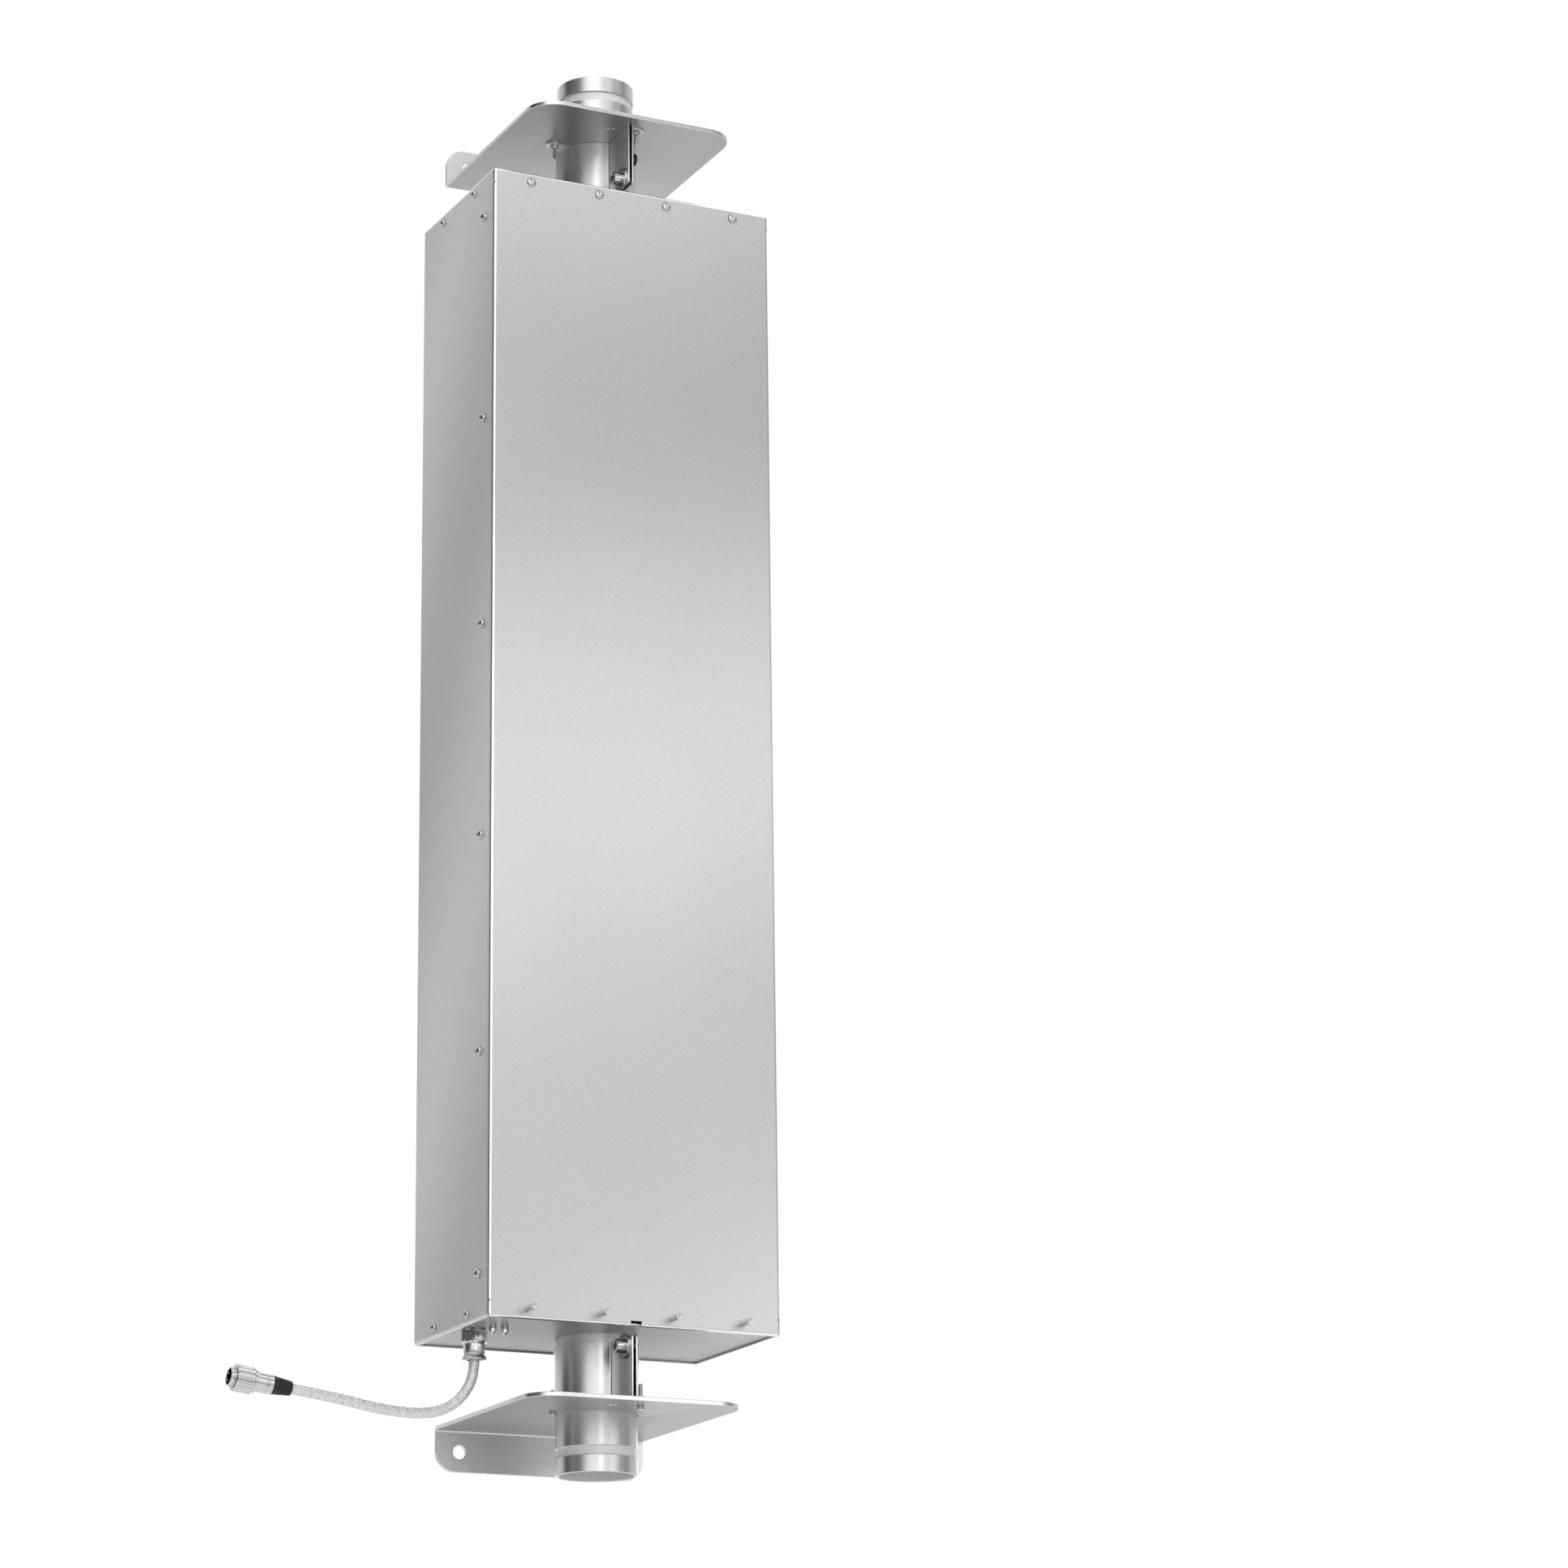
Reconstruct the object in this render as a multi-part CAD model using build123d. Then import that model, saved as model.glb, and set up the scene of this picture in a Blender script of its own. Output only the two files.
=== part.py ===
from build123d import *
import math
import os

os.makedirs("parts", exist_ok=True)

# The object is a flow-through ultrasonic reactor.  A stainless tube with grooved ends
# passes through a tall sheet-metal housing.  Transducers bonded to both sides of the tube
# sit inside the housing, and two pinch-clamp brackets carry the tube on a wall.
# All lengths are millimetres.  Shapes are drawn round the tube axis, with height zero at
# the housing's lower end, and are moved to the row's origin when they are written:
# the middle of the upper bracket's wall holes, on the wall, with Y pointing into the wall.

# Housing
housing_width = 294.0
housing_depth = 180.0
housing_height = 1120.0
sheet = 1.5
bend_radius = 3.0
lip_depth = 4.5
seam = 0.4
layer_gap = 0.2
cap_flange = 25.0
return_flange = 42.0
flange_clearance = 1.5
pan_bend_radius = 2.0
edge_notch_width = 11.0
edge_notch_height = 5.0
relief_level = 15.0
relief_radius = 1.5
relief_slit = 0.8

# Screws of the housing, which pass the outer sheet and thread into the inner one.  Each kind
# gives the radius of its shank, of its clearance hole and of its head, and the head's height.
large_button = (2.5, 2.8, 4.75, 2.75)
small_button = (2.0, 2.3, 3.8, 2.3)
tall_pin = (2.0, 2.3, 3.1, 16.0)
screw_length = 6.0
thread_gap = 0.05
row_inset = 9.5
front_row_pitch = 72.0
front_row_count = 4
side_row_pitch = 79.0
side_row_count = 2
column_inset = 25.0
column_margin = 43.0
column_count = 6

# Flow tube
tube_radius = 38.05
tube_wall = 2.9
upper_stub = 143.0
lower_stub = 126.0
groove_seat = 15.9
groove_width = 8.7
groove_depth = 1.9
tube_hole_clearance = 0.6

# Collars welded to the tube, which carry the two caps
collar_radius = 58.0
collar_thickness = 6.0
gasket_thickness = 1.0
gasket_radius = 44.0
weld_gap = 0.05
stud_radius = 2.5
stud_circle_radius = 48.0
stud_first_angle = 45.0
stud_length = 14.0
stud_hole_clearance = 0.3
stud_count = 4
stud_nut_flats = 8.0
stud_nut_height = 4.0

# Transducers, in one column on each side of the tube
transducer_count = 5
transducer_pitch = 200.0
transducer_radius = 25.0
bond_line = 0.1
horn_length = 24.0
piezo_radius = 22.5
piezo_bore_radius = 9.0
piezo_thickness = 5.0
electrode_thickness = 0.4
electrode_tab_width = 8.0
electrode_tab_reach = 31.0
back_mass_length = 18.0
preload_radius = 5.0
preload_clearance = 0.3
preload_head_radius = 8.0
preload_head_height = 8.0
preload_depth = 14.0
bus_width = 6.0
bus_thickness = 1.5
bus_overrun = 12.0

# Cable gland in the lower cap, and the terminal block above it
gland_inset = 21.0
gland_y = -8.0
gland_thread_radius = 9.0
gland_hex_flats = 22.0
gland_hex_height = 12.5
gland_body_radius = 10.2
gland_body_height = 10.5
gland_ring_radius = 11.6
gland_ring_height = 5.5
gland_ring_flare = 1.2
gland_bore_radius = 6.5
gland_hole_clearance = 0.2
locknut_flats = 23.0
locknut_height = 4.0
gland_thread_end = 2.0
seal_gap = 0.05
block_width = 24.0
block_depth = 18.0
block_height = 20.0
block_inset = 32.0
block_y = -39.0
block_screw_spacing = 12.0
block_entry_radius = 2.5
block_entry_share = 0.6
dome_radius = 3.5
dome_height = 8.5
dome_bevel = 1.6
dome_thread_radius = 2.0
dome_thread_length = 8.0

# Braided cable and its plug.  The route is chosen by hand: offsets from the gland's
# mouth, sideways, in depth and in height.  It starts straight, inside the gland's ring.
cable_radius = 5.0
cable_bend_share = 0.45
cable_route = [
    (0.0, 0.0, 8.0),
    (0.0, 0.0, -10.0),
    (-5.8, 0.0, -26.0),
    (-16.7, -0.5, -39.0),
    (-32.3, -1.5, -48.0),
    (-54.0, -2.5, -52.5),
    (-92.0, -4.5, -51.0),
    (-136.0, -6.0, -43.0),
    (-180.0, -5.0, -37.0),
]
boot_length = 18.0
boot_radius = 6.6
boot_grip_radius = 8.5
plug_neck_length = 16.0
plug_neck_radius = 9.0
plug_flange_length = 3.0
plug_flange_radius = 10.8
plug_nose_length = 22.0
plug_nose_radius = 8.6
plug_wall = 1.2
plug_stop_rise = 1.0
plug_stop_length = 1.5
insert_length = 14.0
insert_recess = 3.0
pin_radius = 1.6
pin_length = 8.0
pin_count = 3
pin_circle_radius = 3.6
ring_outer_radius = 12.5
ring_length = 17.0
ring_clearance = 0.06
ring_end_gap = 0.3
ring_groove_count = 16
ring_groove_radius = 0.9

# Wall brackets
plate_thickness = 4.0
plate_width = 214.0
plate_front = 105.5
plate_corner_radius = 30.0
upper_plate_offset = 71.0
lower_plate_offset = 66.5
wall_distance = 134.0
wall_flange_height = 43.0
wall_flange_corner = 20.0
fold_radius = 6.0
wall_hole_radius = 6.5
wall_hole_spacing = 166.0
wall_hole_rise = 20.0
pilot_hole_radius = 1.4
pilot_hole_spacing = 5.5
pilot_hole_x = -16.0
pilot_hole_y = -73.0

# Split clamp sleeve between each bracket plate and the housing
sleeve_sheet = 1.5
sleeve_clearance = 0.05
sleeve_height = 60.0
ear_gap = 2.6
ear_reach = 86.0
ear_corner_radius = 3.0
foot_width = 16.0
foot_corner_radius = 7.5
foot_screw_radius = 2.0
foot_hole_clearance = 0.2
foot_screw_length = 20.0
foot_head_radius = 3.5
foot_head_height = 4.0
foot_nut_flats = 7.0
foot_nut_height = 3.2
foot_circle_radius = 52.0
foot_reach = 61.0
foot_angles = [195.0, 45.0]
ear_foot_length = 16.0
ear_foot_screw_x = 9.5
ear_foot_screw_y = -77.5
pinch_radius = 4.0
pinch_hole_clearance = 0.4
pinch_distance = 70.0
pinch_level = 51.0
pinch_head_radius = 6.5
pinch_head_height = 8.0
pinch_socket_radius = 3.4
pinch_socket_depth = 4.0
pinch_washer_radius = 12.0
pinch_washer_thickness = 2.0
pinch_nut_radius = 6.0
pinch_nut_height = 3.0
pinch_thread_end = 4.5
spreader_distance = 70.0
spreader_level = 28.0
spreader_head_radius = 6.2
spreader_head_height = 6.0
spreader_nut_radius = 5.0
spreader_nut_height = 3.0

# Places that follow from the sizes above
half_width = housing_width / 2
half_depth = housing_depth / 2
layer_stack = 2 * sheet + layer_gap
cap_top = housing_height - sheet - layer_gap
upper_hole_level = housing_height + upper_plate_offset + plate_thickness + wall_hole_rise
origin_shift = Location((0, -wall_distance, -upper_hole_level))
sleeve_radius = tube_radius + sleeve_clearance
sleeve_outer_radius = sleeve_radius + sleeve_sheet
ear_face = ear_gap / 2 + sleeve_sheet
gland_x = -half_width + gland_inset
block_x = -half_width + block_inset
gland_drop = gland_hex_height + gland_body_height + gland_ring_height
lower_cap_face = sheet + layer_gap

BASE = (Align.CENTER, Align.CENTER, Align.MIN)
TOP = (Align.CENTER, Align.CENTER, Align.MAX)


def write(node, shape):
    """Move a finished sub-part to the row's origin and write it as one STEP file."""
    export_step(origin_shift * shape, f"parts/{node}.step")


def block(x_range, y_range, z_range):
    """Return a box between two corners, given as one range for each axis."""
    sizes = [high - low for low, high in (x_range, y_range, z_range)]
    middle = [(high + low) / 2 for low, high in (x_range, y_range, z_range)]
    return Pos(*middle) * Box(*sizes)


def facing(point, direction, shape):
    """Place a shape drawn along its own Z so that this Z points in the direction given."""
    return Plane(origin=point, z_dir=direction) * shape


def joined(shapes):
    """Collect separate solids in one compound."""
    return Compound(children=list(shapes))


def hexagon(flats, height, bore_radius):
    """Return a hexagonal nut with a plain bore, standing on its lower face."""
    body = extrude(RegularPolygon(flats / 2, 6, major_radius=False), height)
    return body - Cylinder(bore_radius, height, align=BASE)


def ring(outer_radius, inner_radius, height):
    """Return a flat ring standing on its lower face."""
    return Cylinder(outer_radius, height, align=BASE) - Cylinder(inner_radius, height, align=BASE)


def evenly(count, pitch):
    """Return positions at one pitch, centred on zero."""
    return [(index - (count - 1) / 2) * pitch for index in range(count)]


def column_levels():
    """Return the heights of the screws down one side of the front cover."""
    pitch = (housing_height - 2 * column_margin) / (column_count - 1)
    return [column_margin + index * pitch for index in range(column_count)]


def side_column(side):
    """Return point, outward direction and kind of each screw of one side's column."""
    y = -half_depth + column_inset
    return [((side * half_width, y, z), (side, 0, 0), large_button) for z in column_levels()]


def cap_rows(level, front_kind):
    """Return point, outward direction and kind of each screw that holds one cap."""
    places = []
    for facing_y, kind in ((-1, front_kind), (1, large_button)):
        for x in evenly(front_row_count, front_row_pitch):
            places.append(((x, facing_y * half_depth, level), (0, facing_y, 0), kind))
    for facing_x in (-1, 1):
        for y in evenly(side_row_count, side_row_pitch):
            places.append(((facing_x * half_width, y, level), (facing_x, 0, 0), small_button))
    return places


upper_row = cap_rows(housing_height - row_inset, large_button)
lower_row = cap_rows(row_inset, tall_pin)
left_column = side_column(-1)
right_column = side_column(1)


def drill(shape, places):
    """Cut a hole for every listed screw: clear in the outer sheet, tapped in the inner one."""
    bits = []
    for point, direction, (shank_radius, hole_radius, _, _) in places:
        clear = Cylinder(hole_radius, 2 * (sheet + layer_gap / 2))
        tapped = Cylinder(shank_radius + thread_gap, 4 * layer_stack)
        bits.append(facing(point, direction, clear + tapped))
    return shape - bits


def rounded_tray(inset, front, radius):
    """Return a closed block of the housing's outline, shrunk by the inset, from one depth
    to the back, with every edge rounded except the four round its front face."""
    body = block(
        (-half_width + inset, half_width - inset),
        (front, half_depth - inset),
        (inset, housing_height - inset),
    )
    front_edges = body.faces().sort_by(Axis.Y)[0].edges()
    return fillet([edge for edge in body.edges() if edge not in front_edges], radius)


def rear_shell():
    """U-shaped back and sides, folded inwards in a lip round both ends."""
    front = -half_depth + lip_depth + seam
    skin = rounded_tray(0, front, bend_radius)
    skin -= rounded_tray(sheet, front, bend_radius - sheet)
    end_opening = block(
        (-half_width + lip_depth, half_width - lip_depth),
        (front, half_depth - lip_depth),
        (0, sheet),
    )
    skin -= end_opening
    skin -= Pos(0, 0, housing_height - sheet) * end_opening
    return drill(skin, upper_row + lower_row + left_column + right_column)


def edge_notch():
    """Return the cutter of the notch in the middle of the front's lower edge."""
    half = edge_notch_width / 2
    return block((-half, half), (-half_depth, -half_depth + lip_depth), (0, edge_notch_height))


def corner_relief():
    """Return the cutter of one corner of the cover, a slit up its bend that ends in a hole."""
    reach = 4 * bend_radius
    slit = Box(reach, relief_slit, relief_level, align=BASE)
    hole = Pos(0, 0, relief_level) * Rot(0, 90, 0) * Cylinder(relief_radius, reach)
    return Pos(-half_width, -half_depth, 0) * Rot(0, 0, 45) * (slit + hole)


def front_cover():
    """Front panel folded on four sides, with a set-in flange behind each side lip."""
    outline = mirror(rounded_tray(0, half_depth - lip_depth, bend_radius), about=Plane.XZ)
    hollow = mirror(rounded_tray(sheet, half_depth - lip_depth, bend_radius - sheet), about=Plane.XZ)
    cover = outline - hollow
    low = lower_cap_face + cap_flange + flange_clearance
    high = housing_height - low
    outer = half_width - sheet - layer_gap
    inner = outer - sheet
    lip_end = -half_depth + lip_depth
    for side in (-1, 1):
        step = block(sorted((side * inner, side * half_width)), (lip_end - sheet, lip_end), (low, high))
        strap = block(
            sorted((side * inner, side * outer)),
            (lip_end - sheet, -half_depth + return_flange),
            (low, high),
        )
        cover += [step, strap]
    lower_reliefs = [corner_relief(), mirror(corner_relief(), about=Plane.YZ)]
    upper_reliefs = [Pos(0, 0, housing_height) * mirror(relief, about=Plane.XY) for relief in lower_reliefs]
    cover -= [edge_notch()] + lower_reliefs + upper_reliefs
    return drill(cover, upper_row + lower_row + left_column + right_column)


def stud_places():
    """Return the plan positions of the studs that hold a cap to its collar."""
    turns = [math.radians(stud_first_angle + 360 / stud_count * index) for index in range(stud_count)]
    return [(stud_circle_radius * math.cos(turn), stud_circle_radius * math.sin(turn)) for turn in turns]


def cap_pan():
    """Folded cap with its face up at height zero and its flange hanging down."""
    half_x = half_width - sheet - layer_gap
    half_y = half_depth - sheet - layer_gap
    pan = block((-half_x, half_x), (-half_y, half_y), (-cap_flange, 0))
    rim = pan.faces().sort_by(Axis.Z)[0].edges()
    pan = fillet([edge for edge in pan.edges() if edge not in rim], pan_bend_radius)
    hollow = block(
        (-half_x + sheet, half_x - sheet),
        (-half_y + sheet, half_y - sheet),
        (-cap_flange, -sheet),
    )
    upright = hollow.edges().filter_by(Axis.Z)
    pan -= fillet(upright, pan_bend_radius - sheet)
    pan -= Cylinder(tube_radius + tube_hole_clearance, 2 * sheet)
    stud = Pos(0, 0, -sheet) * Cylinder(stud_radius, stud_length, align=TOP)
    return pan + [Pos(x, y, 0) * stud for x, y in stud_places()]


def top_cap():
    """Upper cap, set in under the lips of the shell and the cover."""
    return drill(Pos(0, 0, cap_top) * cap_pan(), upper_row)


def bottom_cap():
    """Lower cap, the upper one turned over, with holes for the gland and the block."""
    cap = mirror(cap_pan(), about=Plane.XY)
    cap = drill(Pos(0, 0, lower_cap_face) * cap, lower_row)
    gland_hole = Cylinder(gland_thread_radius + gland_hole_clearance, 4 * sheet)
    cap -= Pos(gland_x, gland_y, lower_cap_face) * gland_hole
    cap -= edge_notch()
    screw_hole = Cylinder(dome_thread_radius + gland_hole_clearance, 4 * sheet)
    return cap - [Pos(x, block_y, lower_cap_face) * screw_hole for x in dome_columns()]


def reactor_tube():
    """Thick stainless tube with a coupling groove near each end, turned in one piece."""
    low = -lower_stub
    high = housing_height + upper_stub
    groove_radius = tube_radius - groove_depth
    bore_radius = tube_radius - tube_wall
    profile = Polyline(
        (bore_radius, low),
        (tube_radius, low),
        (tube_radius, low + groove_seat),
        (groove_radius, low + groove_seat),
        (groove_radius, low + groove_seat + groove_width),
        (tube_radius, low + groove_seat + groove_width),
        (tube_radius, high - groove_seat - groove_width),
        (groove_radius, high - groove_seat - groove_width),
        (groove_radius, high - groove_seat),
        (tube_radius, high - groove_seat),
        (tube_radius, high),
        (bore_radius, high),
        close=True,
    )
    return revolve(make_face(Plane.XZ * profile), Axis.Z)


def tube_collars():
    """Two flat rings welded to the tube, one behind each cap."""
    collar = ring(collar_radius, tube_radius + weld_gap, collar_thickness)
    stud_hole = Cylinder(stud_radius + stud_hole_clearance, collar_thickness, align=BASE)
    collar -= [Pos(x, y, 0) * stud_hole for x, y in stud_places()]
    lower = Pos(0, 0, lower_cap_face + sheet + gasket_thickness) * collar
    upper = Pos(0, 0, cap_top - sheet - gasket_thickness - collar_thickness) * collar
    return joined([lower, upper])


def collar_gaskets():
    """Flat gaskets between each collar and its cap."""
    gasket = ring(gasket_radius, tube_radius + weld_gap, gasket_thickness)
    lower = Pos(0, 0, lower_cap_face + sheet) * gasket
    upper = Pos(0, 0, cap_top - sheet - gasket_thickness) * gasket
    return joined([lower, upper])


def collar_nuts():
    """Hexagon nuts that draw each cap onto its collar, on the studs inside the housing."""
    nut = hexagon(stud_nut_flats, stud_nut_height, stud_radius + thread_gap)
    seat = lower_cap_face + sheet + gasket_thickness + collar_thickness
    levels = [seat, housing_height - seat - stud_nut_height]
    return joined([Pos(x, y, z) * nut for z in levels for x, y in stud_places()])


def housing_screws(places):
    """Screws, each of its kind and seated on the outer face at its place."""
    screws = []
    for point, direction, (shank_radius, _, head_radius, head_height) in places:
        head = Cylinder(head_radius, head_height, align=BASE)
        shank = Cylinder(shank_radius, screw_length, align=TOP)
        screws.append(facing(point, direction, head + shank))
    return joined(screws)


def transducer_levels():
    """Return the heights of the transducers, centred on the housing."""
    return [housing_height / 2 + offset for offset in evenly(transducer_count, transducer_pitch)]


def transducer_column(side, shape):
    """Copy one piece of a transducer, drawn along Z from the tube axis, down one side."""
    return joined([facing((0, 0, z), (side, 0, 0), shape) for z in transducer_levels()])


horn_face = tube_radius + bond_line + horn_length
second_piezo = horn_face + piezo_thickness + electrode_thickness
back_face = second_piezo + piezo_thickness
back_end = back_face + back_mass_length


def horn_blocks(side):
    """Aluminium front masses, hollowed to the tube and bonded to it."""
    horn = Cylinder(transducer_radius, horn_face, align=BASE)
    horn -= Rot(0, 90, 0) * Cylinder(tube_radius + bond_line, 4 * tube_radius)
    thread = Cylinder(preload_radius + thread_gap, preload_depth, align=TOP)
    horn -= Pos(0, 0, horn_face) * thread
    return transducer_column(side, horn)


def piezo_rings(side):
    """Two ceramic rings in each transducer, one on each side of the live electrode."""
    ceramic = ring(piezo_radius, piezo_bore_radius, piezo_thickness)
    pair = joined([Pos(0, 0, horn_face) * ceramic, Pos(0, 0, second_piezo) * ceramic])
    return transducer_column(side, pair)


def electrodes(side):
    """Thin live electrode between the two rings of each transducer, with its tab."""
    disc = ring(piezo_radius, piezo_bore_radius, electrode_thickness)
    half_tab = electrode_tab_width / 2
    tab_root = (piezo_bore_radius + piezo_radius) / 2
    tab = block((-half_tab, half_tab), (tab_root, electrode_tab_reach), (0, electrode_thickness))
    return transducer_column(side, Pos(0, 0, horn_face + piezo_thickness) * (disc + tab))


def back_masses(side):
    """Steel back masses that close each transducer."""
    mass = ring(piezo_radius, preload_radius + preload_clearance, back_mass_length)
    return transducer_column(side, Pos(0, 0, back_face) * mass)


def preload_bolts(side):
    """Bolts that clamp each stack and screw into its horn."""
    length = back_end - horn_face + preload_depth
    bolt = Cylinder(preload_head_radius, preload_head_height, align=BASE)
    bolt += Cylinder(preload_radius, length, align=TOP)
    return transducer_column(side, Pos(0, 0, back_end) * bolt)


def live_bus(side):
    """Flat copper bar along one column, lying on the live electrodes' tabs."""
    levels = transducer_levels()
    face = second_piezo
    span_x = sorted((side * face, side * (face + bus_thickness)))
    span_y = (-electrode_tab_reach, -electrode_tab_reach + bus_width)
    return block(span_x, span_y, (levels[0] - bus_overrun, levels[-1] + bus_overrun))


def dome_columns():
    """Return the two places along X of the screws under the terminal block."""
    return [block_x + offset for offset in evenly(2, block_screw_spacing)]


def terminal_block():
    """Terminal block standing on the lower cap, beside the gland."""
    body = Box(block_width, block_depth, block_height, align=BASE)
    thread = Cylinder(dome_thread_radius + thread_gap, dome_thread_length, align=BASE)
    body -= [Pos(offset, 0, 0) * thread for offset in evenly(2, block_screw_spacing)]
    entry = Pos(0, 0, block_height * block_entry_share) * Rot(90, 0, 0) * Cylinder(block_entry_radius, block_depth)
    body -= [Pos(offset, 0, 0) * entry for offset in evenly(2, block_screw_spacing)]
    return Pos(block_x, block_y, lower_cap_face + sheet) * body


def dome_screws():
    """Dome-headed screws that hold the block from below, in view under the housing."""
    head = Cylinder(dome_radius, dome_height, align=TOP)
    head = chamfer(head.edges().sort_by(Axis.Z)[0], dome_bevel)
    screw = head + Cylinder(dome_thread_radius, dome_thread_length, align=BASE)
    return joined([Pos(x, block_y, lower_cap_face) * screw for x in dome_columns()])


def at_gland(shape):
    """Place a piece drawn downwards from the lower cap's face at the gland's axis."""
    return Pos(gland_x, gland_y, lower_cap_face) * shape


def gland_body():
    """Gland body: hexagon under the cap, thread through it, plain barrel below."""
    body = extrude(RegularPolygon(gland_hex_flats / 2, 6, major_radius=False), -gland_hex_height)
    barrel = Pos(0, 0, -gland_hex_height) * Cylinder(gland_body_radius, gland_body_height, align=TOP)
    thread = Cylinder(gland_thread_radius, sheet + locknut_height + gland_thread_end, align=BASE)
    bore = Cylinder(gland_bore_radius, 4 * gland_drop)
    return at_gland(body + barrel + thread - bore)


def gland_ring():
    """Flared clamping ring on the gland's mouth."""
    bottom = gland_hex_height + gland_body_height
    half = gland_ring_height / 2
    flare = Cone(gland_ring_radius - gland_ring_flare, gland_ring_radius, half, align=BASE)
    rim = Pos(0, 0, half) * Cylinder(gland_ring_radius, half, align=BASE)
    shell = mirror(flare + rim, about=Plane.XY) - Cylinder(gland_bore_radius, 4 * gland_drop)
    return at_gland(Pos(0, 0, -bottom) * shell)


def gland_seal():
    """Rubber seal in the gland's bore, down to where the cable's end meets it."""
    seal = Cylinder(gland_bore_radius - seal_gap, gland_drop - cable_route[0][2], align=TOP)
    return at_gland(seal)


def gland_locknut():
    """Locknut on the gland's thread, inside the lower cap."""
    nut = hexagon(locknut_flats, locknut_height, gland_thread_radius + thread_gap)
    return at_gland(Pos(0, 0, sheet) * nut)


def cable_points():
    """Return the cable's route as points in space."""
    mouth = Vector(gland_x, gland_y, lower_cap_face - gland_drop)
    return [mouth + Vector(*offset) for offset in cable_route]


def cable_radii(points):
    """Return an arc for each corner that takes its share of the shorter leg beside it."""
    radii = []
    for before, corner, after in zip(points, points[1:], points[2:]):
        arriving = corner - before
        leaving = after - corner
        half_turn = math.radians(arriving.get_angle(leaving)) / 2
        radii.append(cable_bend_share * min(arriving.length, leaving.length) / math.tan(half_turn))
    return radii


def hf_cable():
    """Braided cable from the gland's mouth to its plug."""
    points = cable_points()
    radii = cable_radii(points)
    print("cable radii", [round(radius, 1) for radius in radii])
    path = FilletPolyline(*points, radius=radii)
    start = Plane(origin=path @ 0, z_dir=path % 0)
    cable = sweep(start * Circle(cable_radius), path=path)
    drawn = math.pi * cable_radius**2 * path.length
    print("cable length", round(path.length, 1), "volume ratio", round(cable.volume / drawn, 5))
    return cable


def on_cable_end(shape):
    """Place a piece of the plug, drawn along Z from the cable's end, on that end."""
    points = cable_points()
    return facing(points[-1], points[-1] - points[-2], shape)


def plug_boot():
    """Tapered rubber boot behind the plug, solid round the cable's end."""
    return on_cable_end(Cone(boot_radius, boot_grip_radius, boot_length, align=BASE))


def plug_shell():
    """Metal shell of the plug: neck, flange that stops the ring, and hollow nose."""
    neck = Cylinder(plug_neck_radius, plug_neck_length, align=BASE)
    flange = Pos(0, 0, plug_neck_length) * Cylinder(plug_flange_radius, plug_flange_length, align=BASE)
    nose_base = plug_neck_length + plug_flange_length
    nose = Pos(0, 0, nose_base) * Cylinder(plug_nose_radius, plug_nose_length, align=BASE)
    stop_radius = plug_nose_radius + plug_stop_rise
    stop_start = nose_base + ring_length + 2 * ring_end_gap
    stop = Pos(0, 0, stop_start) * Cylinder(stop_radius, plug_stop_length, align=BASE)
    cavity = Pos(0, 0, nose_base) * Cylinder(plug_nose_radius - plug_wall, plug_nose_length, align=BASE)
    return on_cable_end(Pos(0, 0, boot_length) * (neck + flange + nose + stop - cavity))


def plug_insert():
    """Insulating insert in the plug's nose, with its contact pins."""
    nose_base = boot_length + plug_neck_length + plug_flange_length
    body = Cylinder(plug_nose_radius - plug_wall - seal_gap, insert_length - insert_recess, align=BASE)
    pin = Pos(0, 0, insert_length - insert_recess) * Cylinder(pin_radius, pin_length, align=BASE)
    turns = [math.radians(360 / pin_count * index) for index in range(pin_count)]
    places = [(pin_circle_radius * math.cos(turn), pin_circle_radius * math.sin(turn)) for turn in turns]
    body += [Pos(x, y, 0) * pin for x, y in places]
    return on_cable_end(Pos(0, 0, nose_base) * body)


def coupling_ring():
    """Grooved ring that turns on the plug's nose, kept between the flange and the stop."""
    start = boot_length + plug_neck_length + plug_flange_length + ring_end_gap
    collar = ring(ring_outer_radius, plug_nose_radius + ring_clearance, ring_length)
    groove = Cylinder(ring_groove_radius, ring_length, align=BASE)
    turns = [math.radians(360 / ring_groove_count * index) for index in range(ring_groove_count)]
    collar -= [
        Pos(ring_outer_radius * math.cos(turn), ring_outer_radius * math.sin(turn), 0) * groove
        for turn in turns
    ]
    return on_cable_end(Pos(0, 0, start) * collar)


def foot_places():
    """Return the plan positions of the screws that hold a sleeve to its plate."""
    turns = [math.radians(angle) for angle in foot_angles]
    places = [(foot_circle_radius * math.cos(turn), foot_circle_radius * math.sin(turn)) for turn in turns]
    return places + [(ear_foot_screw_x, ear_foot_screw_y)]


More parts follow.
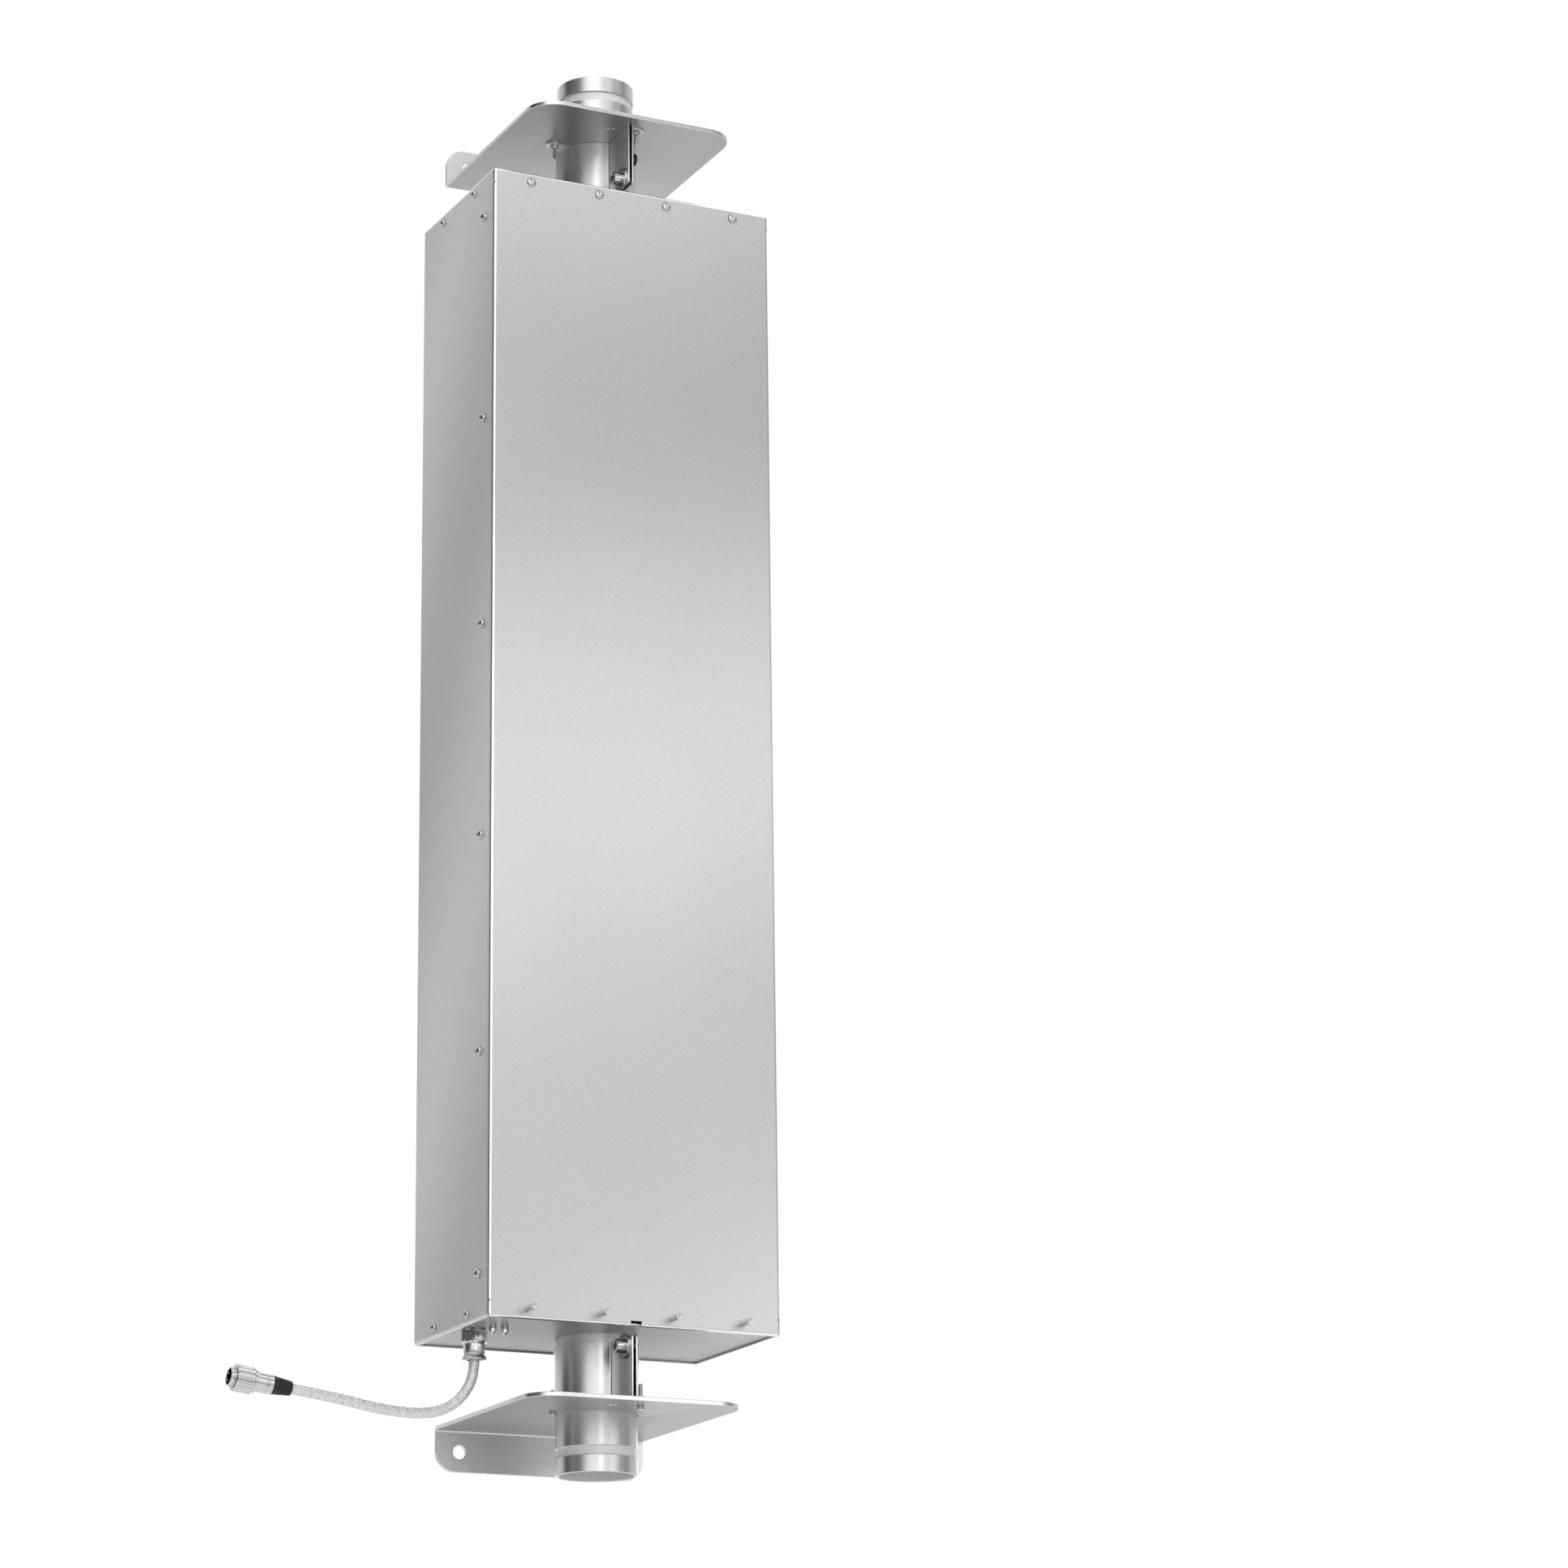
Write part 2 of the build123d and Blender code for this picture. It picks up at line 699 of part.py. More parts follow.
def bracket_plate():
    """Folded bracket of the lower end, drawn with its plate's upper face at height zero."""
    half = plate_width / 2
    outline = block((-half, half), (-plate_front, wall_distance), (-plate_thickness, 0))
    front_corners = outline.edges().filter_by(Axis.Z).sort_by(Axis.Y)[0:2]
    outline = fillet(front_corners, plate_corner_radius)
    flange = block(
        (-half, half),
        (wall_distance - plate_thickness, wall_distance),
        (-wall_flange_height, 0),
    )
    flange_corners = flange.edges().filter_by(Axis.Y).sort_by(Axis.Z)[0:2]
    plate = outline + fillet(flange_corners, wall_flange_corner)
    outer_fold = plate.edges().filter_by(Axis.X).sort_by(Axis.Y)[-3:].sort_by(Axis.Z)[-1]
    plate = fillet(outer_fold, fold_radius)
    inner_y = wall_distance - plate_thickness
    inner_corner = Vector(0, inner_y, -plate_thickness)
    inner_fold = plate.edges().filter_by(Axis.X).sort_by_distance(inner_corner)[0]
    plate = fillet(inner_fold, fold_radius - plate_thickness)
    plate -= Cylinder(tube_radius + tube_hole_clearance, 4 * plate_thickness)
    foot_hole = Cylinder(foot_screw_radius + foot_hole_clearance, 4 * plate_thickness)
    plate -= [Pos(x, y, 0) * foot_hole for x, y in foot_places()]
    pilot = Cylinder(pilot_hole_radius, 4 * plate_thickness)
    plate -= [Pos(pilot_hole_x + offset, pilot_hole_y, 0) * pilot for offset in evenly(2, pilot_hole_spacing)]
    wall_hole = Rot(90, 0, 0) * Cylinder(wall_hole_radius, 4 * plate_thickness)
    wall_hole = Pos(0, wall_distance, -plate_thickness - wall_hole_rise) * wall_hole
    return plate - [Pos(x, 0, 0) * wall_hole for x in evenly(2, wall_hole_spacing)]


def foot_tab(angle):
    """Radial tab at the sleeve's foot, with a round end and its screw hole."""
    half = foot_width / 2
    start = sleeve_radius + sleeve_sheet / 2
    tab = block((start, foot_reach), (-half, half), (0, sleeve_sheet))
    tab = fillet(tab.edges().filter_by(Axis.Z).sort_by(Axis.X)[2:4], foot_corner_radius)
    hole = Cylinder(foot_screw_radius + foot_hole_clearance, 4 * sleeve_sheet)
    tab -= Pos(foot_circle_radius, 0, 0) * hole
    return Rot(0, 0, angle) * tab


def clamp_sleeve():
    """Thin split sleeve with two forward ears and feet, standing on a plate at height zero."""
    body = Cylinder(sleeve_outer_radius, sleeve_height, align=BASE)
    ears = block((-ear_face, ear_face), (-ear_reach, -sleeve_radius), (0, sleeve_height))
    free_corner = ears.edges().filter_by(Axis.X).sort_by(Axis.Y)[0:2].sort_by(Axis.Z)[-1]
    body += fillet(free_corner, ear_corner_radius)
    body += [foot_tab(angle) for angle in foot_angles]
    half = foot_width / 2
    ear_foot = block(
        (ear_gap / 2, ear_gap / 2 + ear_foot_length),
        (ear_foot_screw_y - half, ear_foot_screw_y + half),
        (0, sleeve_sheet),
    )
    ear_foot = fillet(ear_foot.edges().filter_by(Axis.Z).sort_by(Axis.X)[2:4], foot_corner_radius)
    hole = Cylinder(foot_screw_radius + foot_hole_clearance, 4 * sleeve_sheet)
    body += ear_foot - Pos(ear_foot_screw_x, ear_foot_screw_y, 0) * hole
    body -= Cylinder(sleeve_radius, sleeve_height, align=BASE)
    body -= block((-ear_gap / 2, ear_gap / 2), (-2 * ear_reach, 0), (0, sleeve_height))
    pinch_hole = Rot(0, 90, 0) * Cylinder(pinch_radius + pinch_hole_clearance, 4 * ear_face)
    return body - Pos(0, -pinch_distance, pinch_level) * pinch_hole


def at_pinch(shape, x):
    """Place a piece drawn along Z so that it points to the left from one place along X."""
    return facing((x, -pinch_distance, pinch_level), (-1, 0, 0), shape)


def pinch_screw():
    """Socket-head screw that draws the two ears together."""
    head = Cylinder(pinch_head_radius, pinch_head_height, align=BASE)
    socket = Cylinder(pinch_socket_radius, pinch_socket_depth, align=TOP)
    head -= Pos(0, 0, pinch_head_height) * socket
    length = 2 * ear_face + pinch_washer_thickness + pinch_nut_height + pinch_thread_end
    screw = head + Cylinder(pinch_radius, length, align=TOP)
    return at_pinch(screw, -ear_face - pinch_washer_thickness)


def pinch_washer():
    """Wide washer under the pinch screw's head."""
    washer = ring(pinch_washer_radius, pinch_radius + pinch_hole_clearance, pinch_washer_thickness)
    return at_pinch(washer, -ear_face)


def pinch_nut():
    """Round clinch nut on the right ear."""
    nut = ring(pinch_nut_radius, pinch_radius + thread_gap, pinch_nut_height)
    return at_pinch(nut, ear_face + pinch_nut_height)


def foot_screws():
    """Cap screws from the plate's outer side, through it and the sleeve's feet."""
    screw = Cylinder(foot_head_radius, foot_head_height, align=TOP)
    screw += Cylinder(foot_screw_radius, foot_screw_length, align=BASE)
    return joined([Pos(x, y, -plate_thickness) * screw for x, y in foot_places()])


def foot_nuts():
    """Nuts on the foot screws, on the sleeve's side of the plate."""
    nut = hexagon(foot_nut_flats, foot_nut_height, foot_screw_radius + thread_gap)
    return joined([Pos(x, y, sleeve_sheet) * nut for x, y in foot_places()])


def spreader_screw():
    """Dark screw head with its clinch collar on the right ear, which opens the clamp."""
    gap = ear_face + spreader_nut_height
    screw = Cylinder(spreader_head_radius, spreader_head_height, align=BASE)
    screw += Cylinder(spreader_nut_radius, spreader_nut_height, align=TOP)
    return facing((gap, -spreader_distance, spreader_level), (1, 0, 0), screw)


def lower_end(shape):
    """Move a bracket piece drawn above its plate to the lower bracket."""
    return Pos(0, 0, -lower_plate_offset) * shape


def upper_end(shape):
    """Mirror a bracket piece drawn above its plate to the upper bracket."""
    return Pos(0, 0, housing_height + upper_plate_offset) * mirror(shape, about=Plane.XY)


write("reactor_tube", reactor_tube())
write("tube_collars", tube_collars())
write("collar_gaskets", collar_gaskets())
write("collar_nuts", collar_nuts())
write("rear_shell", rear_shell())
write("front_cover", front_cover())
write("top_cap", top_cap())
write("bottom_cap", bottom_cap())

for name, places in (
    ("top_row", upper_row),
    ("bottom_row", lower_row),
    ("left_column", left_column),
    ("right_column", right_column),
):
    write(f"{name}_screws", housing_screws(places))

for name, side in (("left", -1), ("right", 1)):
    write(f"{name}_horn_blocks", horn_blocks(side))
    write(f"{name}_piezo_rings", piezo_rings(side))
    write(f"{name}_electrodes", electrodes(side))
    write(f"{name}_back_masses", back_masses(side))
    write(f"{name}_preload_bolts", preload_bolts(side))
    write(f"{name}_live_bus", live_bus(side))

write("terminal_block", terminal_block())
write("dome_screws", dome_screws())
write("gland_body", gland_body())
write("gland_ring", gland_ring())
write("gland_seal", gland_seal())
write("gland_locknut", gland_locknut())
write("hf_cable", hf_cable())
write("plug_boot", plug_boot())
write("plug_shell", plug_shell())
write("plug_insert", plug_insert())
write("coupling_ring", coupling_ring())

for name, place in (("upper", upper_end), ("lower", lower_end)):
    write(f"{name}_bracket_plate", place(bracket_plate()))
    write(f"{name}_clamp_sleeve", place(clamp_sleeve()))
    write(f"{name}_pinch_screw", place(pinch_screw()))
    write(f"{name}_pinch_washer", place(pinch_washer()))
    write(f"{name}_pinch_nut", place(pinch_nut()))
    write(f"{name}_foot_screws", place(foot_screws()))
    write(f"{name}_foot_nuts", place(foot_nuts()))

write("spreader_screw", upper_end(spreader_screw()))
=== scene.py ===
"""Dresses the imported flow-through ultrasonic reactor as it looks in the photograph.

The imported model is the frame.  Shapes are drawn in millimetres round the tube axis, with
height zero at the housing's lower end, as in the part's source, and are moved into the
row's frame, in metres, when their mesh is finished.
"""

from __future__ import annotations

import logging
import math
import sys
from dataclasses import dataclass, field
from enum import Enum
from typing import Callable, ClassVar, Sequence

import bmesh
import bpy
from mathutils import Matrix, Vector
from mathutils.geometry import tessellate_polygon

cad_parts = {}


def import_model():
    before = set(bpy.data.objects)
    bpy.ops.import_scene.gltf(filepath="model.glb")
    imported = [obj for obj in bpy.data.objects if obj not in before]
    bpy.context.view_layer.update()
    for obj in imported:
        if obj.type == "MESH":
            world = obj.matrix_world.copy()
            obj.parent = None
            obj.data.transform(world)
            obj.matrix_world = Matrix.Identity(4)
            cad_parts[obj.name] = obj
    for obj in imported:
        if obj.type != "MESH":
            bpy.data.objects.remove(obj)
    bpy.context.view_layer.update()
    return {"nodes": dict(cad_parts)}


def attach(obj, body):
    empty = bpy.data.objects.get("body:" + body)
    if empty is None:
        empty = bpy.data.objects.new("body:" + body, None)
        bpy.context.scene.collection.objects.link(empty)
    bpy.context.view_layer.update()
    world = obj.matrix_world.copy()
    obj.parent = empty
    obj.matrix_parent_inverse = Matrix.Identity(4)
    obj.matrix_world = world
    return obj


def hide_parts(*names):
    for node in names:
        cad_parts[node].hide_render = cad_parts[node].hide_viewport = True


log = logging.getLogger("reactor")

MM = 0.001
WALL_DISTANCE = 134.0
UPPER_HOLE_LEVEL = 1215.0
TO_ROW = Matrix.Scale(MM, 4) @ Matrix.Translation((0.0, -WALL_DISTANCE, -UPPER_HOLE_LEVEL))
HOUSING_HALF = (0.147, 0.090, 0.560)
HOUSING_MIDDLE = (0.0, -WALL_DISTANCE * MM, 0.560 - UPPER_HOLE_LEVEL * MM)
BUMP_DEPTH = 0.0002
UPRIGHT = (0.0, 0.0, 1.0)
WHITE = (1.0, 1.0, 1.0, 1.0)
DOME_TURNS = (0.0, 0.3, 0.6, 0.9, 1.2)

Colour = tuple[float, float, float]
Flat = tuple[float, float]
Place = tuple[float, float, float]
Seat = tuple[Place, Place]
Piece = bpy.types.Object
Shape = bmesh.types.BMesh
Tree = bpy.types.NodeTree
Node = bpy.types.Node
Socket = bpy.types.NodeSocket
Sockets = dict[str, Socket]
Layers = tuple[Socket, Socket, Socket]


# Nodes


class Graph:
    """Adds and joins the nodes of one tree."""

    def __init__(self, tree: Tree) -> None:
        """Keep the tree and clear it."""
        self.tree = tree
        tree.nodes.clear()

    def feed(self, value: object, target: Socket) -> None:
        """Join a socket to an input, or set a constant on it.

        Args:
            value: the socket or constant.
            target: the input.
        """
        if isinstance(value, Socket):
            self.tree.links.new(value, target)
        else:
            target.default_value = value

    def add(self, kind: str, inputs: dict[str | int, object] | None = None, **settings: object) -> Node:
        """Add a node.

        Args:
            kind: the node's Blender type.
            inputs: values or sockets for its inputs, by name or index.
            settings: the node's own properties.

        Returns:
            The node.
        """
        node = self.tree.nodes.new(kind)
        for name, value in settings.items():
            setattr(node, name, value)
        for key, value in (inputs or {}).items():
            self.feed(value, node.inputs[key])
        return node

    def group(self, shared: type[SharedGroup], inputs: dict[str | int, object] | None = None) -> Sockets:
        """Add a shared shader group and return its outputs by name."""
        return dict(self.add("ShaderNodeGroup", inputs, node_tree=shared.shared()).outputs.items())

    def math(self, operation: str, first: object, second: object = 0.0) -> Socket:
        """Add a Math node on two values or sockets and return its result."""
        return self.add("ShaderNodeMath", {0: first, 1: second}, operation=operation).outputs[0]

    def times(self, first: object, second: object) -> Socket:
        """Return a product."""
        return self.math("MULTIPLY", first, second)

    def plus(self, first: object, second: object) -> Socket:
        """Return a sum."""
        return self.math("ADD", first, second)

    def over(self, first: object, second: object) -> Socket:
        """Return a quotient."""
        return self.math("DIVIDE", first, second)

    def vector(self, operation: str, first: object, second: object = (0.0, 0.0, 0.0)) -> Socket:
        """Add a Vector Math node and return its result, a vector or a value."""
        node = self.add("ShaderNodeVectorMath", {0: first, 1: second}, operation=operation)
        return node.outputs["Value" if operation in ("DOT_PRODUCT", "LENGTH") else "Vector"]

    def scaled(self, vector: Socket, factor: object) -> Socket:
        """Return a vector times a number."""
        return self.add("ShaderNodeVectorMath", {0: vector, "Scale": factor}, operation="SCALE").outputs[0]

    def ranged(
        self, value: Socket, low: float, high: float, start: object = 0.0, stop: object = 1.0, **settings: object
    ) -> Socket:
        """Map a value from one range to another.

        Args:
            value: the value.
            low: the result at the range's start.
            high: the result at its stop.
            start: the start of the value's range.
            stop: its stop.
            settings: the Map Range node's own properties.

        Returns:
            The result.
        """
        limits = {"Value": value, "From Min": start, "From Max": stop, "To Min": low, "To Max": high}
        return self.add("ShaderNodeMapRange", limits, **settings).outputs[0]

    def place(self) -> Socket:
        """Return the place of a point on the object."""
        return self.add("ShaderNodeTexCoord").outputs["Object"]

    def parts(self, vector: Socket) -> Sockets:
        """Return a vector's X, Y and Z."""
        return dict(self.add("ShaderNodeSeparateXYZ", {0: vector}).outputs.items())

    def noise(self, place: Socket, scale: object, detail: float = 2.0, roughness: float = 0.5) -> Socket:
        """Return a noise over a place."""
        inputs = {"Vector": place, "Scale": scale, "Detail": detail, "Roughness": roughness}
        return self.add("ShaderNodeTexNoise", inputs).outputs["Fac"]


class SharedGroup(Graph):
    """A shader group that is built at its first use, and shared by every finish that names it."""

    title: ClassVar[str]
    sizes: ClassVar[dict[str, float]]
    results: ClassVar[tuple[str, ...]]

    @classmethod
    def shared(cls) -> Tree:
        """Build the group once.

        Returns:
            The group's tree.
        """
        if cls.title in bpy.data.node_groups:
            return bpy.data.node_groups[cls.title]
        tree = bpy.data.node_groups.new(cls.title, "ShaderNodeTree")
        for label, value in cls.sizes.items():
            socket = tree.interface.new_socket(label, in_out="INPUT", socket_type="NodeSocketFloat")
            socket.default_value = value
        for label in cls.results:
            tree.interface.new_socket(label, in_out="OUTPUT", socket_type="NodeSocketFloat")
        graph = cls(tree)
        entry = dict(graph.add("NodeGroupInput").outputs.items())
        leave = graph.add("NodeGroupOutput").inputs
        for label, value in zip(cls.results, graph.fill(entry)):
            graph.feed(value, leave[label])
        return tree

    def fill(self, entry: Sockets) -> tuple[Socket, ...]:
        """Make the group's nodes from its inputs, and return its results in order."""
        raise NotImplementedError


class FineGrain(SharedGroup):
    """Blasted metal: fine pits, and a speckle a little coarser."""

    title = "Fine grain"
    sizes = {"Pits per metre": 1400.0}
    results = ("Height", "Speckle")

    def fill(self, entry: Sockets) -> tuple[Socket, ...]:
        """Make the two noises of the grain."""
        place, pits = self.place(), entry["Pits per metre"]
        return self.noise(place, pits), self.noise(place, self.times(pits, 0.45), 1.0, 0.4)


class SheetBlotchesAndPaintedBands(SharedGroup):
    """Broad soft bands of painted reflection along the sheet, and random soft smudges of tone."""

    title = "Sheet cloud"
    sizes = {
        "Period": 0.735,
        "Shift": 1.221,
        "Slant across": -0.25,
        "Slant inward": 1.57,
        "Painted banding": 1.0,
        "Blotches per metre": 3.0,
    }
    results = ("Tone",)

    def fill(self, entry: Sockets) -> tuple[Socket, ...]:
        """Add a slanting wave of painted reflection bands along the sheet to a slow noise of random tone.

        Args:
            entry: the group's inputs.

        Returns:
            The tone, round a half.
        """
        place = self.place()
        parts = self.parts(place)
        across = self.times(parts["X"], entry["Slant across"])
        inward = self.times(parts["Y"], entry["Slant inward"])
        along = self.plus(parts["Z"], self.plus(across, inward))
        turn = self.over(self.plus(along, entry["Shift"]), entry["Period"])
        # The wave is painted reflection: bands of light and dark along the sheet, as if it mirrored the room.
        wave = self.times(self.math("SINE", self.times(turn, 2 * math.pi)), entry["Painted banding"])
        blotch = self.times(self.math("SUBTRACT", self.noise(place, entry["Blotches per metre"]), 0.5), 1.2)
        return (self.plus(self.times(self.plus(wave, blotch), 0.5), 0.5),)


class PaintedBendHighlight(SharedGroup):
    """Finds the housing's folded edges, for their painted highlight and glossier finish."""

    title = "Bend polish"
    sizes = {"Width": 0.003}
    results = ("Mask",)

    def fill(self, entry: Sockets) -> tuple[Socket, ...]:
        """Find where a point lies in the last few millimetres of two of the three directions.

        Args:
            entry: the group's inputs.

        Returns:
            The mask.
        """
        size = self.vector("ABSOLUTE", self.vector("SUBTRACT", self.place(), HOUSING_MIDDLE))
        parts = self.parts(self.vector("SUBTRACT", size, HOUSING_HALF))
        first, second, third = (self.math("MINIMUM", parts[a], parts[b]) for a, b in ("XY", "YZ", "XZ"))
        deepest = self.math("MAXIMUM", self.math("MAXIMUM", first, second), third)
        inside = self.times(entry["Width"], 0.35)
        from_edge = self.plus(deepest, entry["Width"])
        return (self.ranged(from_edge, 0.0, 1.0, 0.0, inside, interpolation_type="SMOOTHSTEP"),)


class PlatePaintedShade(SharedGroup):
    """A folded plate's painted light and shade: its flange painted paler, its level part painted duller towards one
    side.
    """

    title = "Plate tone"
    sizes = {"Upright painted light": 0.50, "Side painted shade": 0.25}
    results = ("Tone",)

    def fill(self, entry: Sockets) -> tuple[Socket, ...]:
        """Weigh painted light and painted shade by how upright and how level a face is.

        Args:
            entry: the group's inputs.

        Returns:
            The tone, round one.
        """
        normal = self.add("ShaderNodeNewGeometry").outputs["Normal"]
        facing_parts = self.parts(self.vector("ABSOLUTE", normal))
        side = self.ranged(self.parts(self.place())["X"], 0.0, 1.0, 0.0, -0.09)
        # Painted light on faces that look front or back, painted shade on level faces towards minus X.
        painted_light = self.times(facing_parts["Y"], entry["Upright painted light"])
        painted_shade = self.times(side, self.times(facing_parts["Z"], entry["Side painted shade"]))
        return (self.plus(1.0, self.math("SUBTRACT", painted_light, painted_shade)),)


class ToolLines(SharedGroup):
    """Fine lines left round a turned or drawn piece."""

    title = "Tool lines"
    sizes = {"Lines per metre": 900.0}
    results = ("Height",)

    def fill(self, entry: Sockets) -> tuple[Socket, ...]:
        """Stretch a noise round the axis, so that it changes along Z alone."""
        squeeze = self.add("ShaderNodeCombineXYZ", {"X": 6.0, "Y": 6.0, "Z": entry["Lines per metre"]}).outputs[0]
        return (self.noise(self.vector("MULTIPLY", self.place(), squeeze), 1.0, 3.0),)


# Finishes


@dataclass(frozen=True)
class Finish:
    """What every finish has: a colour, a roughness, and the bump and speckle of a fine grain."""

    name: str
    colour: Colour
    roughness: float
    grain: float = 0.2
    pits: float = 1400.0
    brushing: float = 0.0
    metallic: ClassVar[float] = 0.0
    brush_turn: ClassVar[float] = 0.25

    def layers(self, graph: Graph, grain: Sockets, tint: Socket, gloss: Socket) -> Layers:
        """Return the colour, height and roughness, with the layers that the finish adds."""
        raise NotImplementedError

    def material(self) -> bpy.types.Material:
        """Build the finish's material once.

        Returns:
            The material.
        """
        if self.name in bpy.data.materials:
            return bpy.data.materials[self.name]
        paint = bpy.data.materials.new(self.name)
        paint.use_nodes = True
        paint.diffuse_color = (*self.colour, 1.0)
        graph = Graph(paint.node_tree)
        grain = graph.group(FineGrain, {"Pits per metre": self.pits})
        base = graph.add("ShaderNodeRGB").outputs[0]
        base.default_value = (*self.colour, 1.0)
        gloss = graph.ranged(grain["Speckle"], self.roughness * 0.85, self.roughness * 1.15)
        tint, height, gloss = self.layers(graph, grain, base, gloss)
        bump = graph.add("ShaderNodeBump", {"Height": height, "Strength": self.grain, "Distance": BUMP_DEPTH})
        inputs = {
            "Base Color": tint,
            "Metallic": self.metallic,
            "Roughness": gloss,
            "Normal": bump.outputs[0],
            "Anisotropic": self.brushing,
            "Anisotropic Rotation": self.brush_turn,
        }
        shader = graph.add("ShaderNodeBsdfPrincipled", inputs)
        graph.add("ShaderNodeOutputMaterial", {"Surface": shader.outputs[0]})
        return paint


@dataclass(frozen=True)
class Metal(Finish):
    """A metal finish: how much speckle, painted reflection banding, tool marks, painted plate shade and painted
    highlight on bends it shows.
    """

    speckle: float = 0.05
    # cloud: the depth of the random smudges, and of the painted reflection bands where banding is on.
    cloud: float = 0.06
    painted_banding: float = 0.0
    lines: float = 0.0
    # Whether folded edges get a painted highlight in their colour.
    painted_bend_highlight: bool = False
    # Whether the plate gets painted light on upright faces and painted shade on level faces.
    folded_plate: bool = False
    metallic: ClassVar[float] = 1.0
    # The painted highlight's gain on the colour of folded edges.
    painted_bend_gain: ClassVar[float] = 1.5
    bend_roughness: ClassVar[float] = 0.4

    def layers(self, graph: Graph, grain: Sockets, tint: Socket, gloss: Socket) -> Layers:
        """Add cloud with its painted reflection bands, speckle, tool lines, and the painted shade of plates and
        painted highlight of bends.

        Args:
            graph: the material's graph.
            grain: the outputs of its fine grain.
            tint: its plain colour.
            gloss: its plain roughness.

        Returns:
            The colour, the height and the roughness.
        """
        # Random smudges of tone, with painted reflection bands on banded sheet.
        cloud = graph.group(SheetBlotchesAndPaintedBands, {"Painted banding": self.painted_banding})["Tone"]
        tone = graph.ranged(cloud, 1.0 - self.cloud, 1.0 + self.cloud, clamp=False)
        fleck = graph.ranged(grain["Speckle"], 1.0 - self.speckle, 1.0 + self.speckle, 0.3, 0.7, clamp=False)
        tint = graph.scaled(tint, graph.times(tone, fleck))
        height = grain["Height"]
        if self.lines > 0.0:
            height = graph.plus(height, graph.times(graph.group(ToolLines)["Height"], self.lines))
        # Painted light and shade on the plate: paler where it faces front or back, darker on level faces towards
        # minus X.
        if self.folded_plate:
            tint = graph.scaled(tint, graph.group(PlatePaintedShade)["Tone"])
        # Painted highlight on folded edges: paler colour, and a lower roughness too.
        if self.painted_bend_highlight:
            mask = graph.group(PaintedBendHighlight)["Mask"]
            tint = graph.scaled(tint, graph.ranged(mask, 1.0, self.painted_bend_gain))
            gloss = graph.times(gloss, graph.ranged(mask, 1.0, self.bend_roughness))
        return tint, height, gloss


@dataclass(frozen=True)
class Moulded(Finish):
    """Rubber, plastic, ceramic or bond: a non-metal with a fine moulded skin."""

    grain: float = 0.15
    pits: float = 900.0
    mottle: float = 0.12

    def layers(self, graph: Graph, grain: Sockets, tint: Socket, gloss: Socket) -> Layers:
        """Mottle the colour."""
        fleck = graph.ranged(grain["Speckle"], 1.0 - self.mottle, 1.0 + self.mottle)
        return graph.scaled(tint, fleck), grain["Height"], gloss


def grey(level: float) -> Colour:
    """Return a neutral colour."""
    return (level, level, level)


# Blasted sheet: its bands are painted reflection and its bright folded edges a painted highlight; its smudges are
# random tone.
BLASTED_SHEET = Metal(
    "blasted_sheet", grey(0.59), 0.42, grain=0.25, speckle=0.07, cloud=0.15, painted_banding=1.0, painted_bend_highlight=True
)
# Satin plate: its tone by facing and by side is painted light and shade.
SATIN_PLATE = Metal("satin_plate", grey(0.48), 0.36, grain=0.15, cloud=0.10, folded_plate=True)
CUT_EDGE = Metal("cut_edge", grey(0.68), 0.22, grain=0.25, pits=900.0, cloud=0.03)
TURNED_TUBE = Metal(
    "turned_tube", grey(0.62), 0.30, grain=0.06, speckle=0.03, cloud=0.05, lines=1.5, brushing=0.75
)
# The bore's colour is paler than the tube's steel: painted light inside the bore; its roughness is its own.
DRAWN_BORE_PAINTED_LIGHT = Metal("drawn_bore", grey(0.84), 0.75, grain=0.15, cloud=0.05)
CLAMP_SHEET = Metal("clamp_sheet", grey(0.62), 0.30, grain=0.08, cloud=0.06, brushing=0.75)
BRIGHT_FASTENER = Metal("bright_fastener", grey(0.54), 0.16, grain=0.08, cloud=0.04)
BLACK_OXIDE = Metal("black_oxide", (0.03, 0.03, 0.032), 0.38, cloud=0.15)
NICKEL_PLATE = Metal("nickel_plate", (0.58, 0.58, 0.57), 0.08, grain=0.05, cloud=0.03)
TINNED_WIRE = Metal("tinned_wire", (0.80, 0.80, 0.79), 0.28, grain=0.1, cloud=0.05)
HORN_ALLOY = Metal("horn_alloy", (0.72, 0.72, 0.73), 0.30, lines=0.8)
SHEET_COPPER = Metal("sheet_copper", (0.85, 0.45, 0.30), 0.28, grain=0.1, cloud=0.1)
MASS_STEEL = Metal("mass_steel", grey(0.42), 0.35, lines=0.8)
BRAID_SHADOW = Metal("braid_shadow", grey(0.25), 0.5, grain=0.4)
SEAL_RUBBER = Moulded("seal_rubber", (0.02, 0.02, 0.021), 0.62)
INSULATOR_RESIN = Moulded("insulator_resin", (0.10, 0.10, 0.105), 0.45)
PIEZO_CERAMIC = Moulded("piezo_ceramic", (0.55, 0.50, 0.42), 0.55)


# Shapes


@dataclass(frozen=True)
class Ring:
    """One ring of a turned shape: height, radius, and flats or flutes where it has them."""

    z: float
    r: float
    flats: float = 0.0
    flutes: int = 0
    flute_radius: float = 0.0

    def radius_at(self, turn: float) -> float:
        """Return the ring's radius at one turn round it.

        Args:
            turn: the turn, in radians.

        Returns:
            The radius, less where a flat or flute cuts it.
        """
        radius = self.r
        if self.flats > 0.0:
            step = math.pi / 3
            off_flat = (turn + step / 2) % step - step / 2
            radius = min(radius, self.flats / 2 / math.cos(off_flat))
        if self.flutes > 0:
            step = 2 * math.pi / self.flutes
            off_centre = ((turn + step / 2) % step - step / 2) * self.r
            if abs(off_centre) < self.flute_radius:
                radius -= math.sqrt(self.flute_radius**2 - off_centre**2)
        return radius


def rings(*points: tuple[float, ...]) -> list[Ring]:
    """Return rings from their heights and radii, each with its flats where it has them."""
    return [Ring(*point) for point in points]


